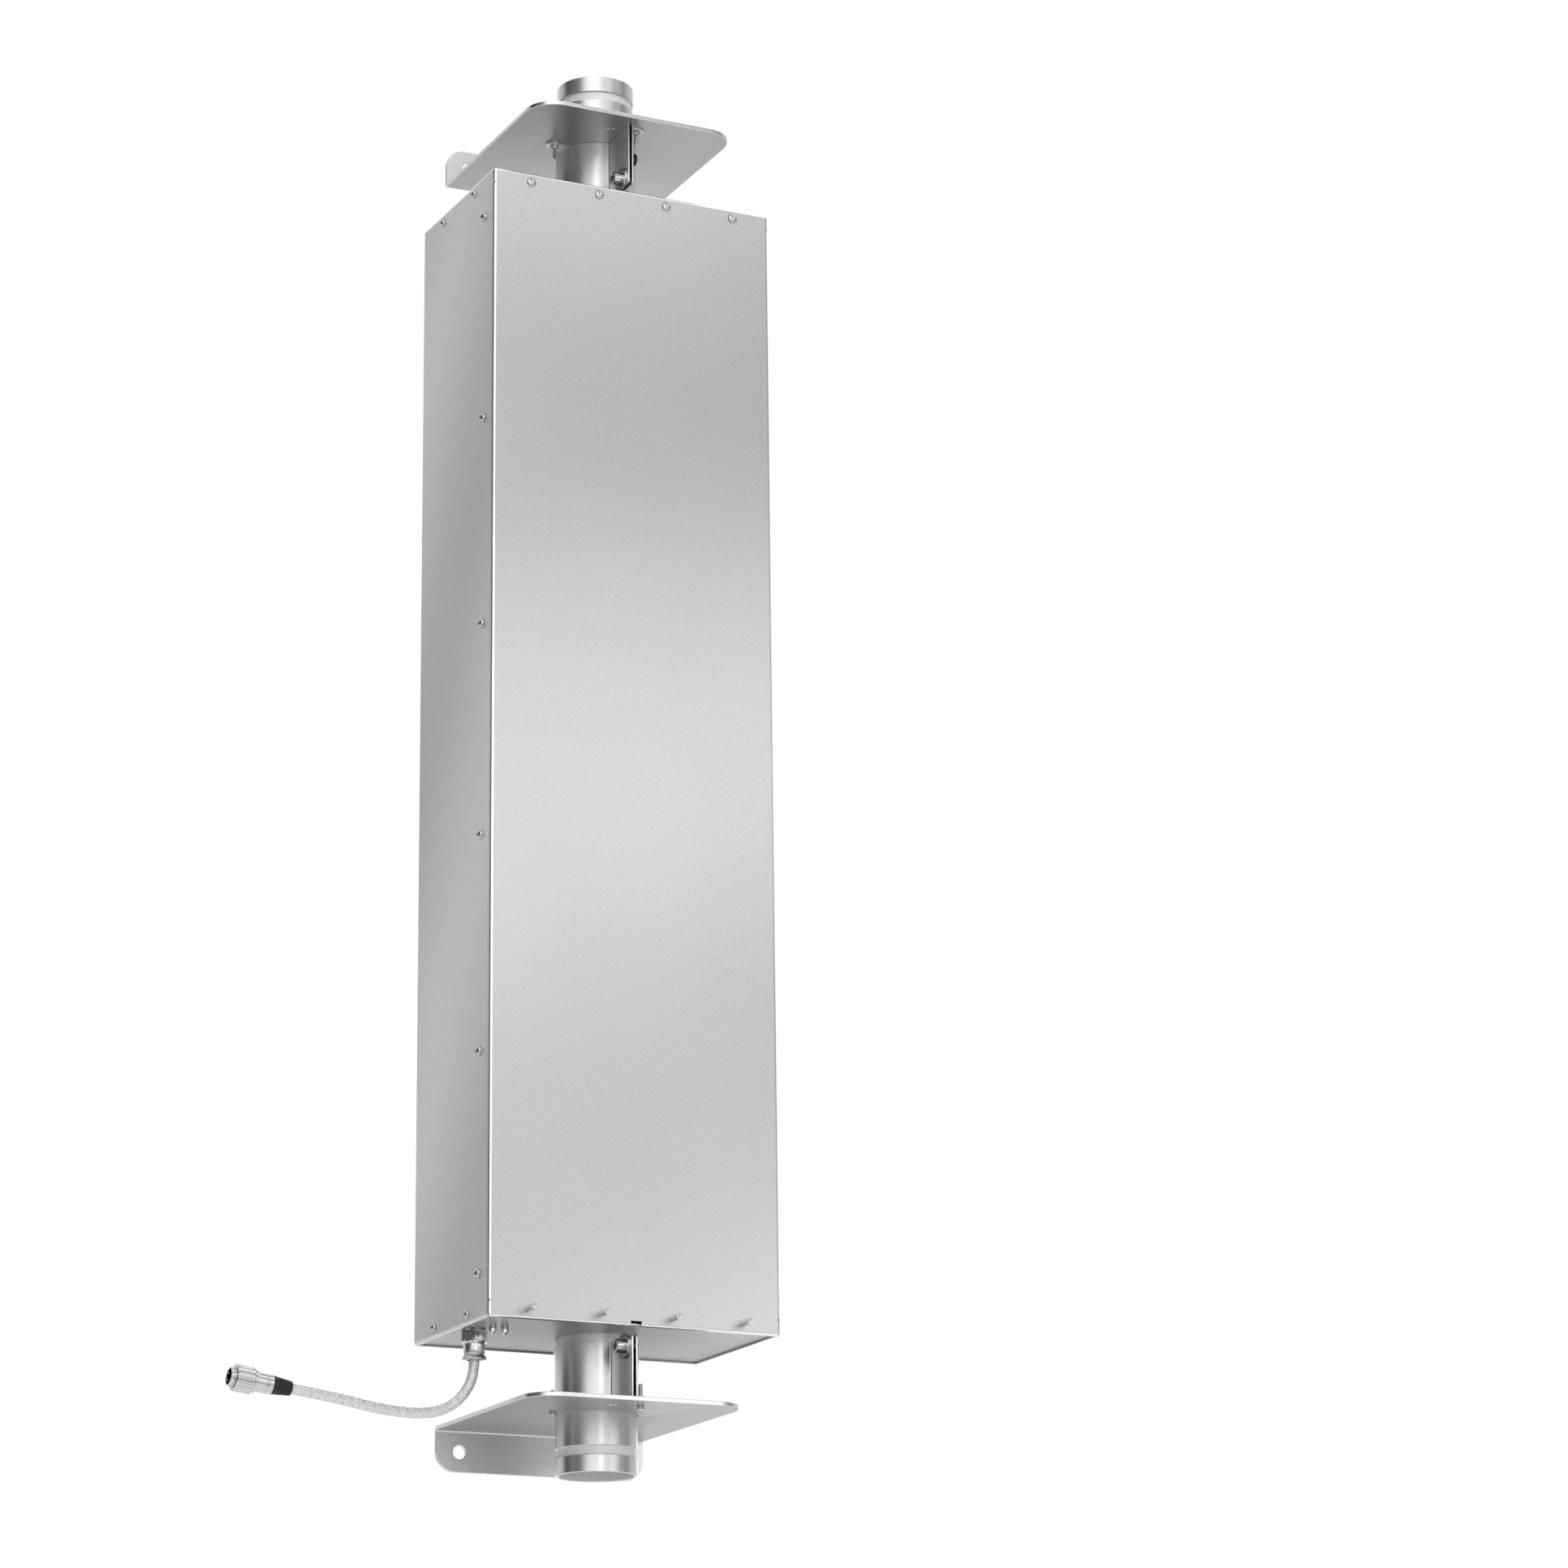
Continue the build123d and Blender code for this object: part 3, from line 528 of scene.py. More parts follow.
@dataclass(frozen=True)
class FoldPath:
    """The side view of a folded sheet: a start, a heading, and runs of length and turn."""

    start: Flat
    heading: float
    runs: tuple[Flat, ...]

    def length(self) -> float:
        """Return the length of the whole path."""
        return sum(run for run, _ in self.runs)

    def at(self, distance: float) -> tuple[Vector, Vector]:
        """Return the point at a distance along the path, and its normal to the left.

        Args:
            distance: how far along the path, in millimetres.

        Returns:
            The point and the unit normal, both in the plane of the side view.
        """
        point = Vector(self.start)
        heading = self.heading
        left = distance
        for index, (run, turn) in enumerate(self.runs):
            step = left if index == len(self.runs) - 1 else min(left, run)
            angle = turn * step / run
            if abs(turn) < 1e-9:
                point += Vector((math.cos(heading), math.sin(heading))) * step
            else:
                later = heading + angle
                across = Vector((math.sin(later) - math.sin(heading), math.cos(heading) - math.cos(later)))
                point += run / turn * across
            heading += angle
            left -= step
            if left <= 0.0:
                break
        return point, Vector((-math.sin(heading), math.cos(heading)))

    def cuts(self, coarseness: float) -> list[float]:
        """Return the distances at which the sheet needs an edge across it, to bend smoothly.

        Args:
            coarseness: the largest turn between two edges, in radians.

        Returns:
            The distances along the path.
        """
        places = []
        passed = 0.0
        for run, turn in self.runs:
            if abs(turn) > 1e-9:
                count = math.ceil(abs(turn) / coarseness)
                places += [passed + run * index / count for index in range(count + 1)]
            passed += run
        return places


def circle(centre: Flat, radius: float, steps: int = 40) -> list[Flat]:
    """Return the points of a round hole."""
    turns = [2 * math.pi * index / steps for index in range(steps)]
    return [(centre[0] + radius * math.cos(turn), centre[1] + radius * math.sin(turn)) for turn in turns]


def rounded(corners: Sequence[Place], steps: int = 10) -> list[Flat]:
    """Return an outline whose corners are rounded.

    Args:
        corners: two coordinates and a radius for each corner, in order round the outline.
        steps: how many pieces each rounded corner has.

    Returns:
        The outline's points.
    """
    points: list[Flat] = []
    count = len(corners)
    for index in range(count):
        x, y, radius = corners[index]
        corner = Vector((x, y))
        before = (Vector(corners[index - 1][:2]) - corner).normalized()
        after = (Vector(corners[(index + 1) % count][:2]) - corner).normalized()
        if radius <= 0.0:
            points.append((x, y))
            continue
        half = before.angle(after) / 2
        start = corner + before * (radius / math.tan(half))
        end = corner + after * (radius / math.tan(half))
        centre = corner + (before + after).normalized() * (radius / math.sin(half))
        for step in range(steps + 1):
            spoke = (start - centre).slerp(end - centre, step / steps)
            points.append(tuple(centre + spoke.normalized() * radius))
    return points


def inset(points: Sequence[Flat], distance: float) -> list[Flat]:
    """Move a closed loop to its left, keeping the loop's point count.

    Args:
        points: the loop.
        distance: how far it moves.

    Returns:
        The moved loop.
    """
    moved = []
    for index, point in enumerate(points):
        here = Vector(point)
        arriving = (here - Vector(points[index - 1])).normalized()
        leaving = (Vector(points[(index + 1) % len(points)]) - here).normalized()
        along = (arriving + leaving).normalized()
        stretch = max(0.3, along.dot(arriving))
        moved.append(tuple(here + Vector((-along.y, along.x)) * (distance / stretch)))
    return moved


def anticlockwise(points: Sequence[Flat]) -> list[Flat]:
    """Return a loop in anticlockwise order."""
    area = sum(points[i - 1][0] * points[i][1] - points[i][0] * points[i - 1][1] for i in range(len(points)))
    return list(points) if area > 0 else list(reversed(points))


def to_object(
    shape: Shape, name: str, finishes: Sequence[Finish], place: Matrix | None = None, sharp: float = 32.0
) -> Piece:
    """Turn a shape in millimetres into an object in the row's frame.

    Args:
        shape: the shape; it is freed.
        name: the object's name.
        finishes: one finish for each material index that the faces use.
        place: where the shape goes, in millimetres round the tube axis.
        sharp: the angle, in degrees, from which an edge is shaded sharp.

    Returns:
        The object, at the origin, with its place in its mesh.
    """
    shape.transform(TO_ROW @ (place or Matrix.Identity(4)))
    piece = bpy.data.objects.new(name, to_mesh(shape, name, sharp))
    for finish in finishes:
        piece.data.materials.append(finish.material())
    bpy.context.scene.collection.objects.link(piece)
    return piece


def to_mesh(shape: Shape, name: str, sharp: float) -> bpy.types.Mesh:
    """Turn a shape into a smooth mesh with sharp edges, whose faces look outwards.

    Args:
        shape: the shape; it is freed.
        name: the mesh's name.
        sharp: the angle, in degrees, from which an edge is shaded sharp.

    Returns:
        The mesh.
    """
    shape.normal_update()
    bmesh.ops.recalc_face_normals(shape, faces=shape.faces)
    mesh = bpy.data.meshes.new(name)
    shape.to_mesh(mesh)
    shape.free()
    mesh.shade_smooth()
    mesh.set_sharp_from_angle(angle=math.radians(sharp))
    return mesh


def join(whole: Shape, part: Shape, place: Matrix | None = None) -> None:
    """Add a part to a shape in one place.

    Args:
        whole: the shape that grows.
        part: the part; it is freed.
        place: where the part goes.
    """
    part.transform(place or Matrix.Identity(4))
    mesh = bpy.data.meshes.new("part")
    part.to_mesh(mesh)
    part.free()
    whole.from_mesh(mesh)
    bpy.data.meshes.remove(mesh)


def turned(outline: Sequence[Ring], steps: int = 72, closed: bool = False) -> Shape:
    """Make a turned shape from its rings, in order along its outline.

    Args:
        outline: the rings; one of radius zero is a pole.
        steps: how many pieces the shape has round its axis.
        closed: whether the last ring joins the first, as in a tube.

    Returns:
        The shape.
    """
    shape = bmesh.new()
    rows = []
    turns = [2 * math.pi * index / steps for index in range(steps)]
    for ring in outline:
        if ring.r <= 0.0:
            rows.append([shape.verts.new((0.0, 0.0, ring.z))])
            continue
        spots = [(ring.radius_at(turn), turn) for turn in turns]
        rows.append([shape.verts.new((r * math.cos(turn), r * math.sin(turn), ring.z)) for r, turn in spots])
    pairs = list(zip(rows, rows[1:]))
    if closed:
        pairs.append((rows[-1], rows[0]))
    for low, high in pairs:
        for index in range(steps):
            after = (index + 1) % steps
            corners = [low[index % len(low)], low[after % len(low)], high[after % len(high)], high[index % len(high)]]
            shape.faces.new(list(dict.fromkeys(corners)))
    return shape


def folded(
    outer: Sequence[Flat],
    holes: Sequence[Sequence[Flat]],
    path: FoldPath,
    walls: Flat,
    break_edge: float,
    across: Callable[[Vector, float], Place],
    coarseness: float = math.radians(7.0),
) -> Shape:
    """Make a folded sheet from its flat outline.

    Args:
        outer: the outline, as distance along the path and place across it.
        holes: the holes, in the same way.
        path: the side view that the flat sheet is folded to.
        walls: the offsets of the sheet's two faces from the path, to the left.
        break_edge: the width of the broken edge round the rim and the holes.
        across: turns a point of the side view and a place across it into a place in space.
        coarseness: the largest turn between two edges of a bend, in radians.

    Returns:
        The shape, whose rim faces use the second material.
    """
    shape = bmesh.new()
    loops = [anticlockwise(outer)] + [list(reversed(anticlockwise(hole))) for hole in holes]
    low, high = walls
    levels = ((break_edge, high), (0.0, high - break_edge), (0.0, low + break_edge), (break_edge, low))
    rows: list[list[list[bmesh.types.BMVert]]] = []
    for distance, level in levels:
        rows.append([[shape.verts.new((*point, level)) for point in inset(loop, distance)] for loop in loops])
    for which, loop in enumerate(loops):
        for upper, lower in zip(rows, rows[1:]):
            above, below = upper[which], lower[which]
            for index in range(len(loop)):
                corners = (above[index - 1], above[index], below[index], below[index - 1])
                shape.faces.new(corners).material_index = 1
    for row in (rows[0], rows[-1]):
        flat = [[Vector((vert.co.x, vert.co.y, 0.0)) for vert in loop] for loop in row]
        verts = [vert for loop in row for vert in loop]
        for triangle in tessellate_polygon(flat):
            shape.faces.new([verts[index] for index in triangle])
    for cut in path.cuts(coarseness):
        everything = shape.verts[:] + shape.edges[:] + shape.faces[:]
        bmesh.ops.bisect_plane(shape, geom=everything, dist=1e-5, plane_co=(cut, 0.0, 0.0), plane_no=(1.0, 0.0, 0.0))
    for vert in shape.verts:
        point, normal = path.at(vert.co.x)
        vert.co = across(point + normal * vert.co.z, vert.co.y)
    return shape


def facing(point: Place, direction: Place, roll: float = 0.0) -> Matrix:
    """Return the place of a shape drawn along Z, which then points in a direction.

    Args:
        point: where the shape's origin goes.
        direction: where its Z points.
        roll: a turn about that direction, in degrees.

    Returns:
        The matrix.
    """
    turn = Vector(direction).to_track_quat("Z", "Y").to_matrix().to_4x4()
    return Matrix.Translation(point) @ turn @ Matrix.Rotation(math.radians(roll), 4, "Z")


def washer_rings(outer: float, bore: float, high: float, break_edge: float) -> list[Ring]:
    """Return the closed outline of a washer with broken outer edges.

    Args:
        outer: its outer radius.
        bore: the radius of its bore.
        high: its height.
        break_edge: the width of the broken edges.

    Returns:
        The rings.
    """
    inner, top = outer - break_edge, high - break_edge
    return rings((0.0, bore), (0.0, inner), (break_edge, outer), (top, outer), (high, inner), (high, bore))


def nut_rings(flats: float, bore: float, height: float) -> list[Ring]:
    """Return the closed outline of a hexagon nut with chamfered corners.

    Args:
        flats: its width across flats.
        bore: the radius of its bore.
        height: its height.

    Returns:
        The rings.
    """
    corner = flats / math.sqrt(3)
    face = flats / 2 * 0.96
    slope = (corner - flats / 2) * 0.6
    chamfer = 0.3
    outside = rings((0.0, face, flats), (slope, corner, flats), (height - slope, corner, flats))
    inside = rings((height, bore + chamfer), (height - chamfer, bore), (chamfer, bore))
    return [Ring(0.0, bore + chamfer), *outside, Ring(height, face, flats), *inside]


def thread_rings(radius: float, pitch: float, start: float, end: float) -> list[Ring]:
    """Return rings that draw a screw thread, with its end chamfered.

    Args:
        radius: the thread's outer radius.
        pitch: its pitch.
        start: the height at which it starts.
        end: the height at which it ends.

    Returns:
        The rings, up to the pole.
    """
    root = radius - 0.6 * pitch
    count = max(1, int((end - start - pitch) / pitch))
    step = (end - start - pitch) / count
    thread = rings((start, root))
    for index in range(count):
        base = start + index * step
        thread += rings((base + 0.4 * step, radius), (base + 0.6 * step, radius), (base + step, root))
    return thread + rings((end, root - 0.5 * pitch), (end, 0.0))


def socket_head_rings(radius: float, height: float, flats: float, depth: float) -> list[Ring]:
    """Return the rings of a cap-screw head from its seat upwards and into its hexagon socket.

    Args:
        radius: the head's radius.
        height: its height.
        flats: the socket's width across flats.
        depth: the socket's depth.

    Returns:
        The rings, down to the pole at the socket's bottom.
    """
    floor = height - depth
    side = rings((0.0, radius - 0.25), (0.25, radius), (height - 0.6, radius), (height - 0.15, radius - 0.35))
    top = rings((height, radius - 0.75), (height, flats * 0.62))
    return side + top + rings((height - 0.35, flats, flats), (floor, flats, flats), (floor - 0.25 * flats, 0.0))


# The ledger of pieces


class Ledger:
    """Ties each piece to its body, and reports it."""

    def __init__(self, nodes: dict[str, Piece]) -> None:
        """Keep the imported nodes."""
        self.nodes = nodes
        self.count = 0

    def add(self, piece: Piece, body: str, slot: str, *nodes: str) -> Piece:
        """Enter a finished piece.

        Args:
            piece: the piece, in its place.
            body: the body that it rides on.
            slot: the name of a material slot; not used.
            nodes: the CAD nodes that it stands for.

        Returns:
            The piece.
        """
        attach(piece, body)
        if nodes:
            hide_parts(*nodes)
        self.count += 1
        log.info("piece %s rides on %s, faces %s", piece.name, body, len(piece.data.polygons))
        return piece

    def dress(self, finish: Finish, *names: str) -> None:
        """Give CAD nodes that stay in view a finish.

        Args:
            finish: the finish.
            names: the nodes' names.
        """
        for name in names:
            mesh = self.nodes[name].data
            mesh.materials.clear()
            mesh.materials.append(finish.material())
            log.info("node %s dressed in %s", name, finish.name)


# Geometry Nodes


def node_tree(name: str, inputs: dict[str, str]) -> tuple[Graph, Sockets]:
    """Start a Geometry Nodes tree.

    Args:
        name: the tree's name.
        inputs: name and kind of each input after the geometry.

    Returns:
        The graph, and its inputs by name.
    """
    tree = bpy.data.node_groups.new(name, "GeometryNodeTree")
    tree.interface.new_socket("Geometry", in_out="INPUT", socket_type="NodeSocketGeometry")
    for label, kind in inputs.items():
        tree.interface.new_socket(label, in_out="INPUT", socket_type="NodeSocket" + kind)
    tree.interface.new_socket("Geometry", in_out="OUTPUT", socket_type="NodeSocketGeometry")
    graph = Graph(tree)
    return graph, dict(graph.add("NodeGroupInput").outputs.items())


def end_tree(graph: Graph, geometry: Socket, finish: Socket) -> Tree:
    """Realize a tree's instances, give them their finish and end the tree.

    Args:
        graph: the tree's graph.
        geometry: the geometry with its instances.
        finish: the material.

    Returns:
        The tree.
    """
    real = graph.add("GeometryNodeRealizeInstances", {"Geometry": geometry}).outputs[0]
    dressed = graph.add("GeometryNodeSetMaterial", {"Geometry": real, "Material": finish}).outputs[0]
    graph.add("NodeGroupOutput", {"Geometry": dressed})
    return graph.tree


def grown(carrier: bpy.types.Mesh, name: str, tree: Tree, values: dict[str, object]) -> Piece:
    """Run a Geometry Nodes tree on a carrier mesh and keep the result as a plain mesh.

    Args:
        carrier: the mesh of points or edges that the tree starts from.
        name: the new piece's name.
        tree: the tree.
        values: the values of its named inputs.

    Returns:
        The piece, with no modifier left on it.
    """
    host = bpy.data.objects.new(name + "_carrier", carrier)
    bpy.context.scene.collection.objects.link(host)
    modifier = host.modifiers.new(tree.name, "NODES")
    modifier.node_group = tree
    for item in tree.interface.items_tree:
        if item.item_type == "SOCKET" and item.in_out == "INPUT" and item.name in values:
            modifier[item.identifier] = values[item.name]
    bpy.context.view_layer.update()
    evaluated = host.evaluated_get(bpy.context.evaluated_depsgraph_get())
    mesh = bpy.data.meshes.new_from_object(evaluated)
    mesh.name = name
    host.modifiers.clear()
    bpy.data.objects.remove(host)
    bpy.data.meshes.remove(carrier)
    piece = bpy.data.objects.new(name, mesh)
    bpy.context.scene.collection.objects.link(piece)
    return piece


def seated_screws_tree() -> Tree:
    """Build, once, the tree that seats one screw on each point, each turned by chance about its axis.

    Returns:
        The tree.
    """
    name = "Seated screws"
    if name in bpy.data.node_groups:
        return bpy.data.node_groups[name]
    graph, entry = node_tree(name, {"Screw": "Object", "Seed": "Int", "Finish": "Material"})
    points = graph.add("GeometryNodeMeshToPoints", {"Mesh": entry["Geometry"]}).outputs[0]
    screw = graph.add("GeometryNodeObjectInfo", {"Object": entry["Screw"], "As Instance": True})
    outward = graph.add("GeometryNodeInputNamedAttribute", {"Name": "outward"}, data_type="FLOAT_VECTOR")
    seat = graph.add("FunctionNodeAlignRotationToVector", {"Vector": outward.outputs["Attribute"]}, axis="Z")
    draws = {"Max": 2 * math.pi, "Seed": entry["Seed"]}
    chance = graph.add("FunctionNodeRandomValue", draws, data_type="FLOAT").outputs[1]
    roll = graph.add("FunctionNodeAxisAngleToRotation", {"Axis": UPRIGHT, "Angle": chance}).outputs[0]
    both = {"Rotation": seat.outputs[0], "Rotate By": roll}
    turn = graph.add("FunctionNodeRotateRotation", both, rotation_space="LOCAL").outputs[0]
    seats = {"Points": points, "Instance": screw.outputs["Geometry"], "Rotation": turn}
    return end_tree(graph, graph.add("GeometryNodeInstanceOnPoints", seats).outputs[0], entry["Finish"])


def braid_tree() -> Tree:
    """Build, once, the tree that winds the wires of one direction of a braid round a line.

    Returns:
        The tree.
    """
    name = "Braid wires"
    if name in bpy.data.node_groups:
        return bpy.data.node_groups[name]
    lengths = ("Gap", "Pitch", "Radius", "Rise", "Weave", "Wire radius", "Step")
    inputs = {"Wires": "Int", "Wires per bundle": "Int", **dict.fromkeys(lengths, "Float"), "Finish": "Material"}
    graph, entry = node_tree(name, inputs)
    line = graph.add("GeometryNodeMeshToCurve", {"Mesh": entry["Geometry"]}).outputs[0]
    spaced = {"Curve": line, "Length": entry["Step"]}
    even = graph.add("GeometryNodeResampleCurve", spaced, mode="LENGTH").outputs[0]
    amount = {"Geometry": even, "Amount": entry["Wires"]}
    copies = graph.add("GeometryNodeDuplicateElements", amount, domain="SPLINE")
    which = copies.outputs["Duplicate Index"]
    per_bundle = entry["Wires per bundle"]
    bundles = graph.over(entry["Wires"], per_bundle)
    bundle = graph.math("FLOOR", graph.over(which, per_bundle))
    within = graph.over(graph.math("MODULO", which, per_bundle), per_bundle)
    lane = graph.times(within, graph.math("SUBTRACT", 1.0, entry["Gap"]))
    start = graph.over(graph.plus(bundle, lane), bundles)
    wound = graph.over(graph.add("GeometryNodeSplineParameter").outputs["Length"], entry["Pitch"])
    angle = graph.times(graph.plus(start, wound), 2 * math.pi)
    crossings = graph.plus(graph.times(wound, bundles), graph.times(bundle, 0.5))
    wave = graph.times(graph.math("SINE", graph.times(crossings, 2 * math.pi)), entry["Weave"])
    height = graph.plus(entry["Radius"], graph.times(wave, entry["Rise"]))
    normal = graph.add("GeometryNodeInputNormal").outputs[0]
    side = graph.vector("CROSS_PRODUCT", graph.add("GeometryNodeInputTangent").outputs[0], normal)
    out = graph.scaled(normal, graph.times(height, graph.math("COSINE", angle)))
    over = graph.scaled(side, graph.times(height, graph.math("SINE", angle)))
    offset = {"Geometry": copies.outputs[0], "Offset": graph.vector("ADD", out, over)}
    moved = graph.add("GeometryNodeSetPosition", offset).outputs[0]
    wire = graph.add("GeometryNodeCurvePrimitiveCircle", {"Resolution": 4, "Radius": entry["Wire radius"]})
    swept = {"Curve": moved, "Profile Curve": wire.outputs[0], "Fill Caps": True}
    return end_tree(graph, graph.add("GeometryNodeCurveToMesh", swept).outputs[0], entry["Finish"])


# The sub-assemblies


@dataclass
class FlowTube:
    """The thick tube with a coupling groove near each end."""

    radius: float = 38.05
    wall: float = 2.9
    low: float = -126.0
    high: float = 1263.0
    groove_seat: float = 15.9
    groove_width: float = 8.7
    groove_depth: float = 1.9
    break_edge: float = 0.5
    groove_fillet: float = 0.35
    steps: int = 120

    def end_rings(self, end: float, inward: float) -> list[Ring]:
        """Return the rings of one end, from its bore outwards and past its groove.

        Args:
            end: the height of the tube's end face.
            inward: one or minus one, towards the tube's middle.

        Returns:
            The rings.
        """
        radius, edge = self.radius, self.break_edge
        bore = radius - self.wall
        floor = radius - self.groove_depth
        soft = self.groove_fillet
        first = end + inward * self.groove_seat
        second = first + inward * self.groove_width
        step, soft_step = inward * edge, inward * soft
        lip = rings((end + step, bore), (end, bore + edge), (end, radius - edge), (end + step, radius))
        down = rings((first - soft_step, radius), (first, radius - soft), (first, floor + soft))
        across = rings((first + soft_step, floor), (second - soft_step, floor))
        up = rings((second, floor + soft), (second, radius - soft), (second + soft_step, radius))
        return lip + down + across + up

    def build(self, ledger: Ledger) -> None:
        """Make the tube and enter it.

        Args:
            ledger: where the piece is entered.
        """
        outline = self.end_rings(self.low, 1.0) + self.end_rings(self.high, -1.0)[::-1]
        piece = to_object(turned(outline, self.steps, closed=True), "flow_tube", [TURNED_TUBE, DRAWN_BORE_PAINTED_LIGHT])
        # Faces of the bore take the second finish, painted paler as light inside it.
        middle = (self.radius - self.wall / 2) * MM
        for face in piece.data.polygons:
            off_axis = math.hypot(face.center.x, face.center.y + WALL_DISTANCE * MM)
            face.material_index = int(off_axis < middle and abs(face.normal.z) < 0.5)
        ledger.add(piece, "column", "tube", "reactor_tube")
        ledger.dress(MASS_STEEL, "tube_collars", "collar_nuts")
        ledger.dress(SEAL_RUBBER, "collar_gaskets")


@dataclass(frozen=True)
class ScrewKind:
    """One kind of housing screw: radii of shank and head, the head's height, and its socket."""

    shank: float
    head: float
    height: float
    socket: float
    domed: bool = True
    dome_foot: float = 0.25
    dome_core: float = 0.35
    socket_depth: float = 1.3
    smooth_below: float = 35.0

    def rings(self, length: float) -> list[Ring]:
        """Return the outline from the tip of the shank to the bottom of the socket.

        Args:
            length: how far the shank reaches below the head.

        Returns:
            The rings.
        """
        head, height, socket = self.head, self.height, self.socket
        foot, core, floor = self.dome_foot, self.dome_core, height - self.socket_depth
        shank = rings((-length, 0.0), (-length, self.shank), (0.0, self.shank), (0.0, head - 0.1))
        if self.domed:
            waves = [(math.sin(turn), math.cos(turn)) for turn in DOME_TURNS]
            top = rings(*((foot + (height - foot) * up, head * (core + (1.0 - core) * out)) for up, out in waves))
        else:
            top = rings((0.1, head), (height - 0.5, head), (height, head - 0.5))
        recess = rings((height, socket * 0.66), (height - 0.2, socket, socket), (floor, socket, socket))
        return [*shank, *top, *recess, Ring(floor - 0.2 * socket, 0.0)]

    def pattern(self, length: float) -> Piece:
        """Return the pattern of one screw, in metres, pointing along Z.

        Args:
            length: how far the shank reaches below the head.

        Returns:
            The pattern, which isn't in the scene.
        """
        shape = turned(self.rings(length), steps=32)
        shape.transform(Matrix.Scale(MM, 4))
        return bpy.data.objects.new("screw_pattern", to_mesh(shape, "screw_pattern", self.smooth_below))


@dataclass
class Housing:
    """The folded sheet housing and the rows of small screws that close it."""

    width: float = 294.0
    depth: float = 180.0
    height: float = 1120.0
    row_inset: float = 9.5
    column_inset: float = 25.0
    column_margin: float = 43.0
    column_count: int = 6
    front_pitch: float = 72.0
    side_pitch: float = 79.0
    shank_length: float = 6.0
    large_button: ScrewKind = ScrewKind(shank=2.5, head=4.75, height=2.75, socket=3.0)
    small_button: ScrewKind = ScrewKind(shank=2.0, head=3.8, height=2.3, socket=2.5)
    tall_pin: ScrewKind = ScrewKind(shank=2.0, head=3.1, height=16.0, socket=2.5, domed=False)
    seed: int = 11

    def face_seats(self, side: float, level: float) -> list[Seat]:
        """Return place and outward direction of one cap's screws on the front or back."""
        columns = [(index - 1.5) * self.front_pitch for index in range(4)]
        return [((x, side * self.depth / 2, level), (0.0, side, 0.0)) for x in columns]

    def flank_seats(self, level: float) -> list[Seat]:
        """Return place and outward direction of one cap's screws on both sides."""
        seats = [(side, index * self.side_pitch) for side in (-1.0, 1.0) for index in (-0.5, 0.5)]
        return [((side * self.width / 2, y, level), (side, 0.0, 0.0)) for side, y in seats]

    def column_seats(self, side: float) -> list[Seat]:
        """Return place and outward direction of the screws down one side.

        Args:
            side: minus one for the left and one for the right.

        Returns:
            The seats, from the lowest up.
        """
        pitch = (self.height - 2 * self.column_margin) / (self.column_count - 1)
        y = -self.depth / 2 + self.column_inset
        levels = [self.column_margin + index * pitch for index in range(self.column_count)]
        return [((side * self.width / 2, y, z), (side, 0.0, 0.0)) for z in levels]

    def seated(self, name: str, kind: ScrewKind, seats: list[Seat], seed: int) -> Piece:
        """Seat the screws of one kind.

        Args:
            name: the new piece's name.
            kind: the kind of screw.
            seats: place and outward direction of each screw.
            seed: the seed of the screws' turns.

        Returns:
            The piece.
        """
        carrier = bpy.data.meshes.new(name + "_seats")
        carrier.from_pydata([TO_ROW @ Vector(point) for point, _ in seats], [], [])
        outward = carrier.attributes.new("outward", "FLOAT_VECTOR", "POINT")
        for index, (_, direction) in enumerate(seats):
            outward.data[index].vector = direction
        pattern = kind.pattern(self.shank_length)
        values = {"Screw": pattern, "Seed": seed, "Finish": BRIGHT_FASTENER.material()}
        piece = grown(carrier, name, seated_screws_tree(), values)
        bpy.data.objects.remove(pattern)
        return piece

    def build(self, ledger: Ledger) -> None:
        """Seat the screws and dress the sheets.

        Args:
            ledger: where the pieces are entered.
        """
        large, small = self.large_button, self.small_button
        low, high = self.row_inset, self.height - self.row_inset
        both_faces = self.face_seats(-1.0, high) + self.face_seats(1.0, high)
        rows = (
            ("upper_face_screws", large, both_faces, "top_row_screws"),
            ("upper_flank_screws", small, self.flank_seats(high)),
            ("lower_face_pins", self.tall_pin, self.face_seats(-1.0, low), "bottom_row_screws"),
            ("lower_back_screws", large, self.face_seats(1.0, low)),
            ("lower_flank_screws", small, self.flank_seats(low)),
            ("left_side_screws", large, self.column_seats(-1.0), "left_column_screws"),
            ("right_side_screws", large, self.column_seats(1.0), "right_column_screws"),
        )
        for offset, (name, kind, seats, *nodes) in enumerate(rows):
            ledger.add(self.seated(name, kind, seats, self.seed + offset), "column", "fastener", *nodes)
        ledger.dress(BLASTED_SHEET, "rear_shell", "front_cover", "top_cap", "bottom_cap")


class End(Enum):
    """Which end of the tube a bracket holds."""

    UPPER = "upper"
    LOWER = "lower"

    def place(self) -> Matrix:
        """Return where a bracket drawn above its plate at height zero goes; the upper one is mirrored."""
        level, upward = (1191.0, -1.0) if self is End.UPPER else (-66.5, 1.0)
        return Matrix.Translation((0.0, 0.0, level)) @ Matrix.Scale(upward, 4, UPRIGHT)


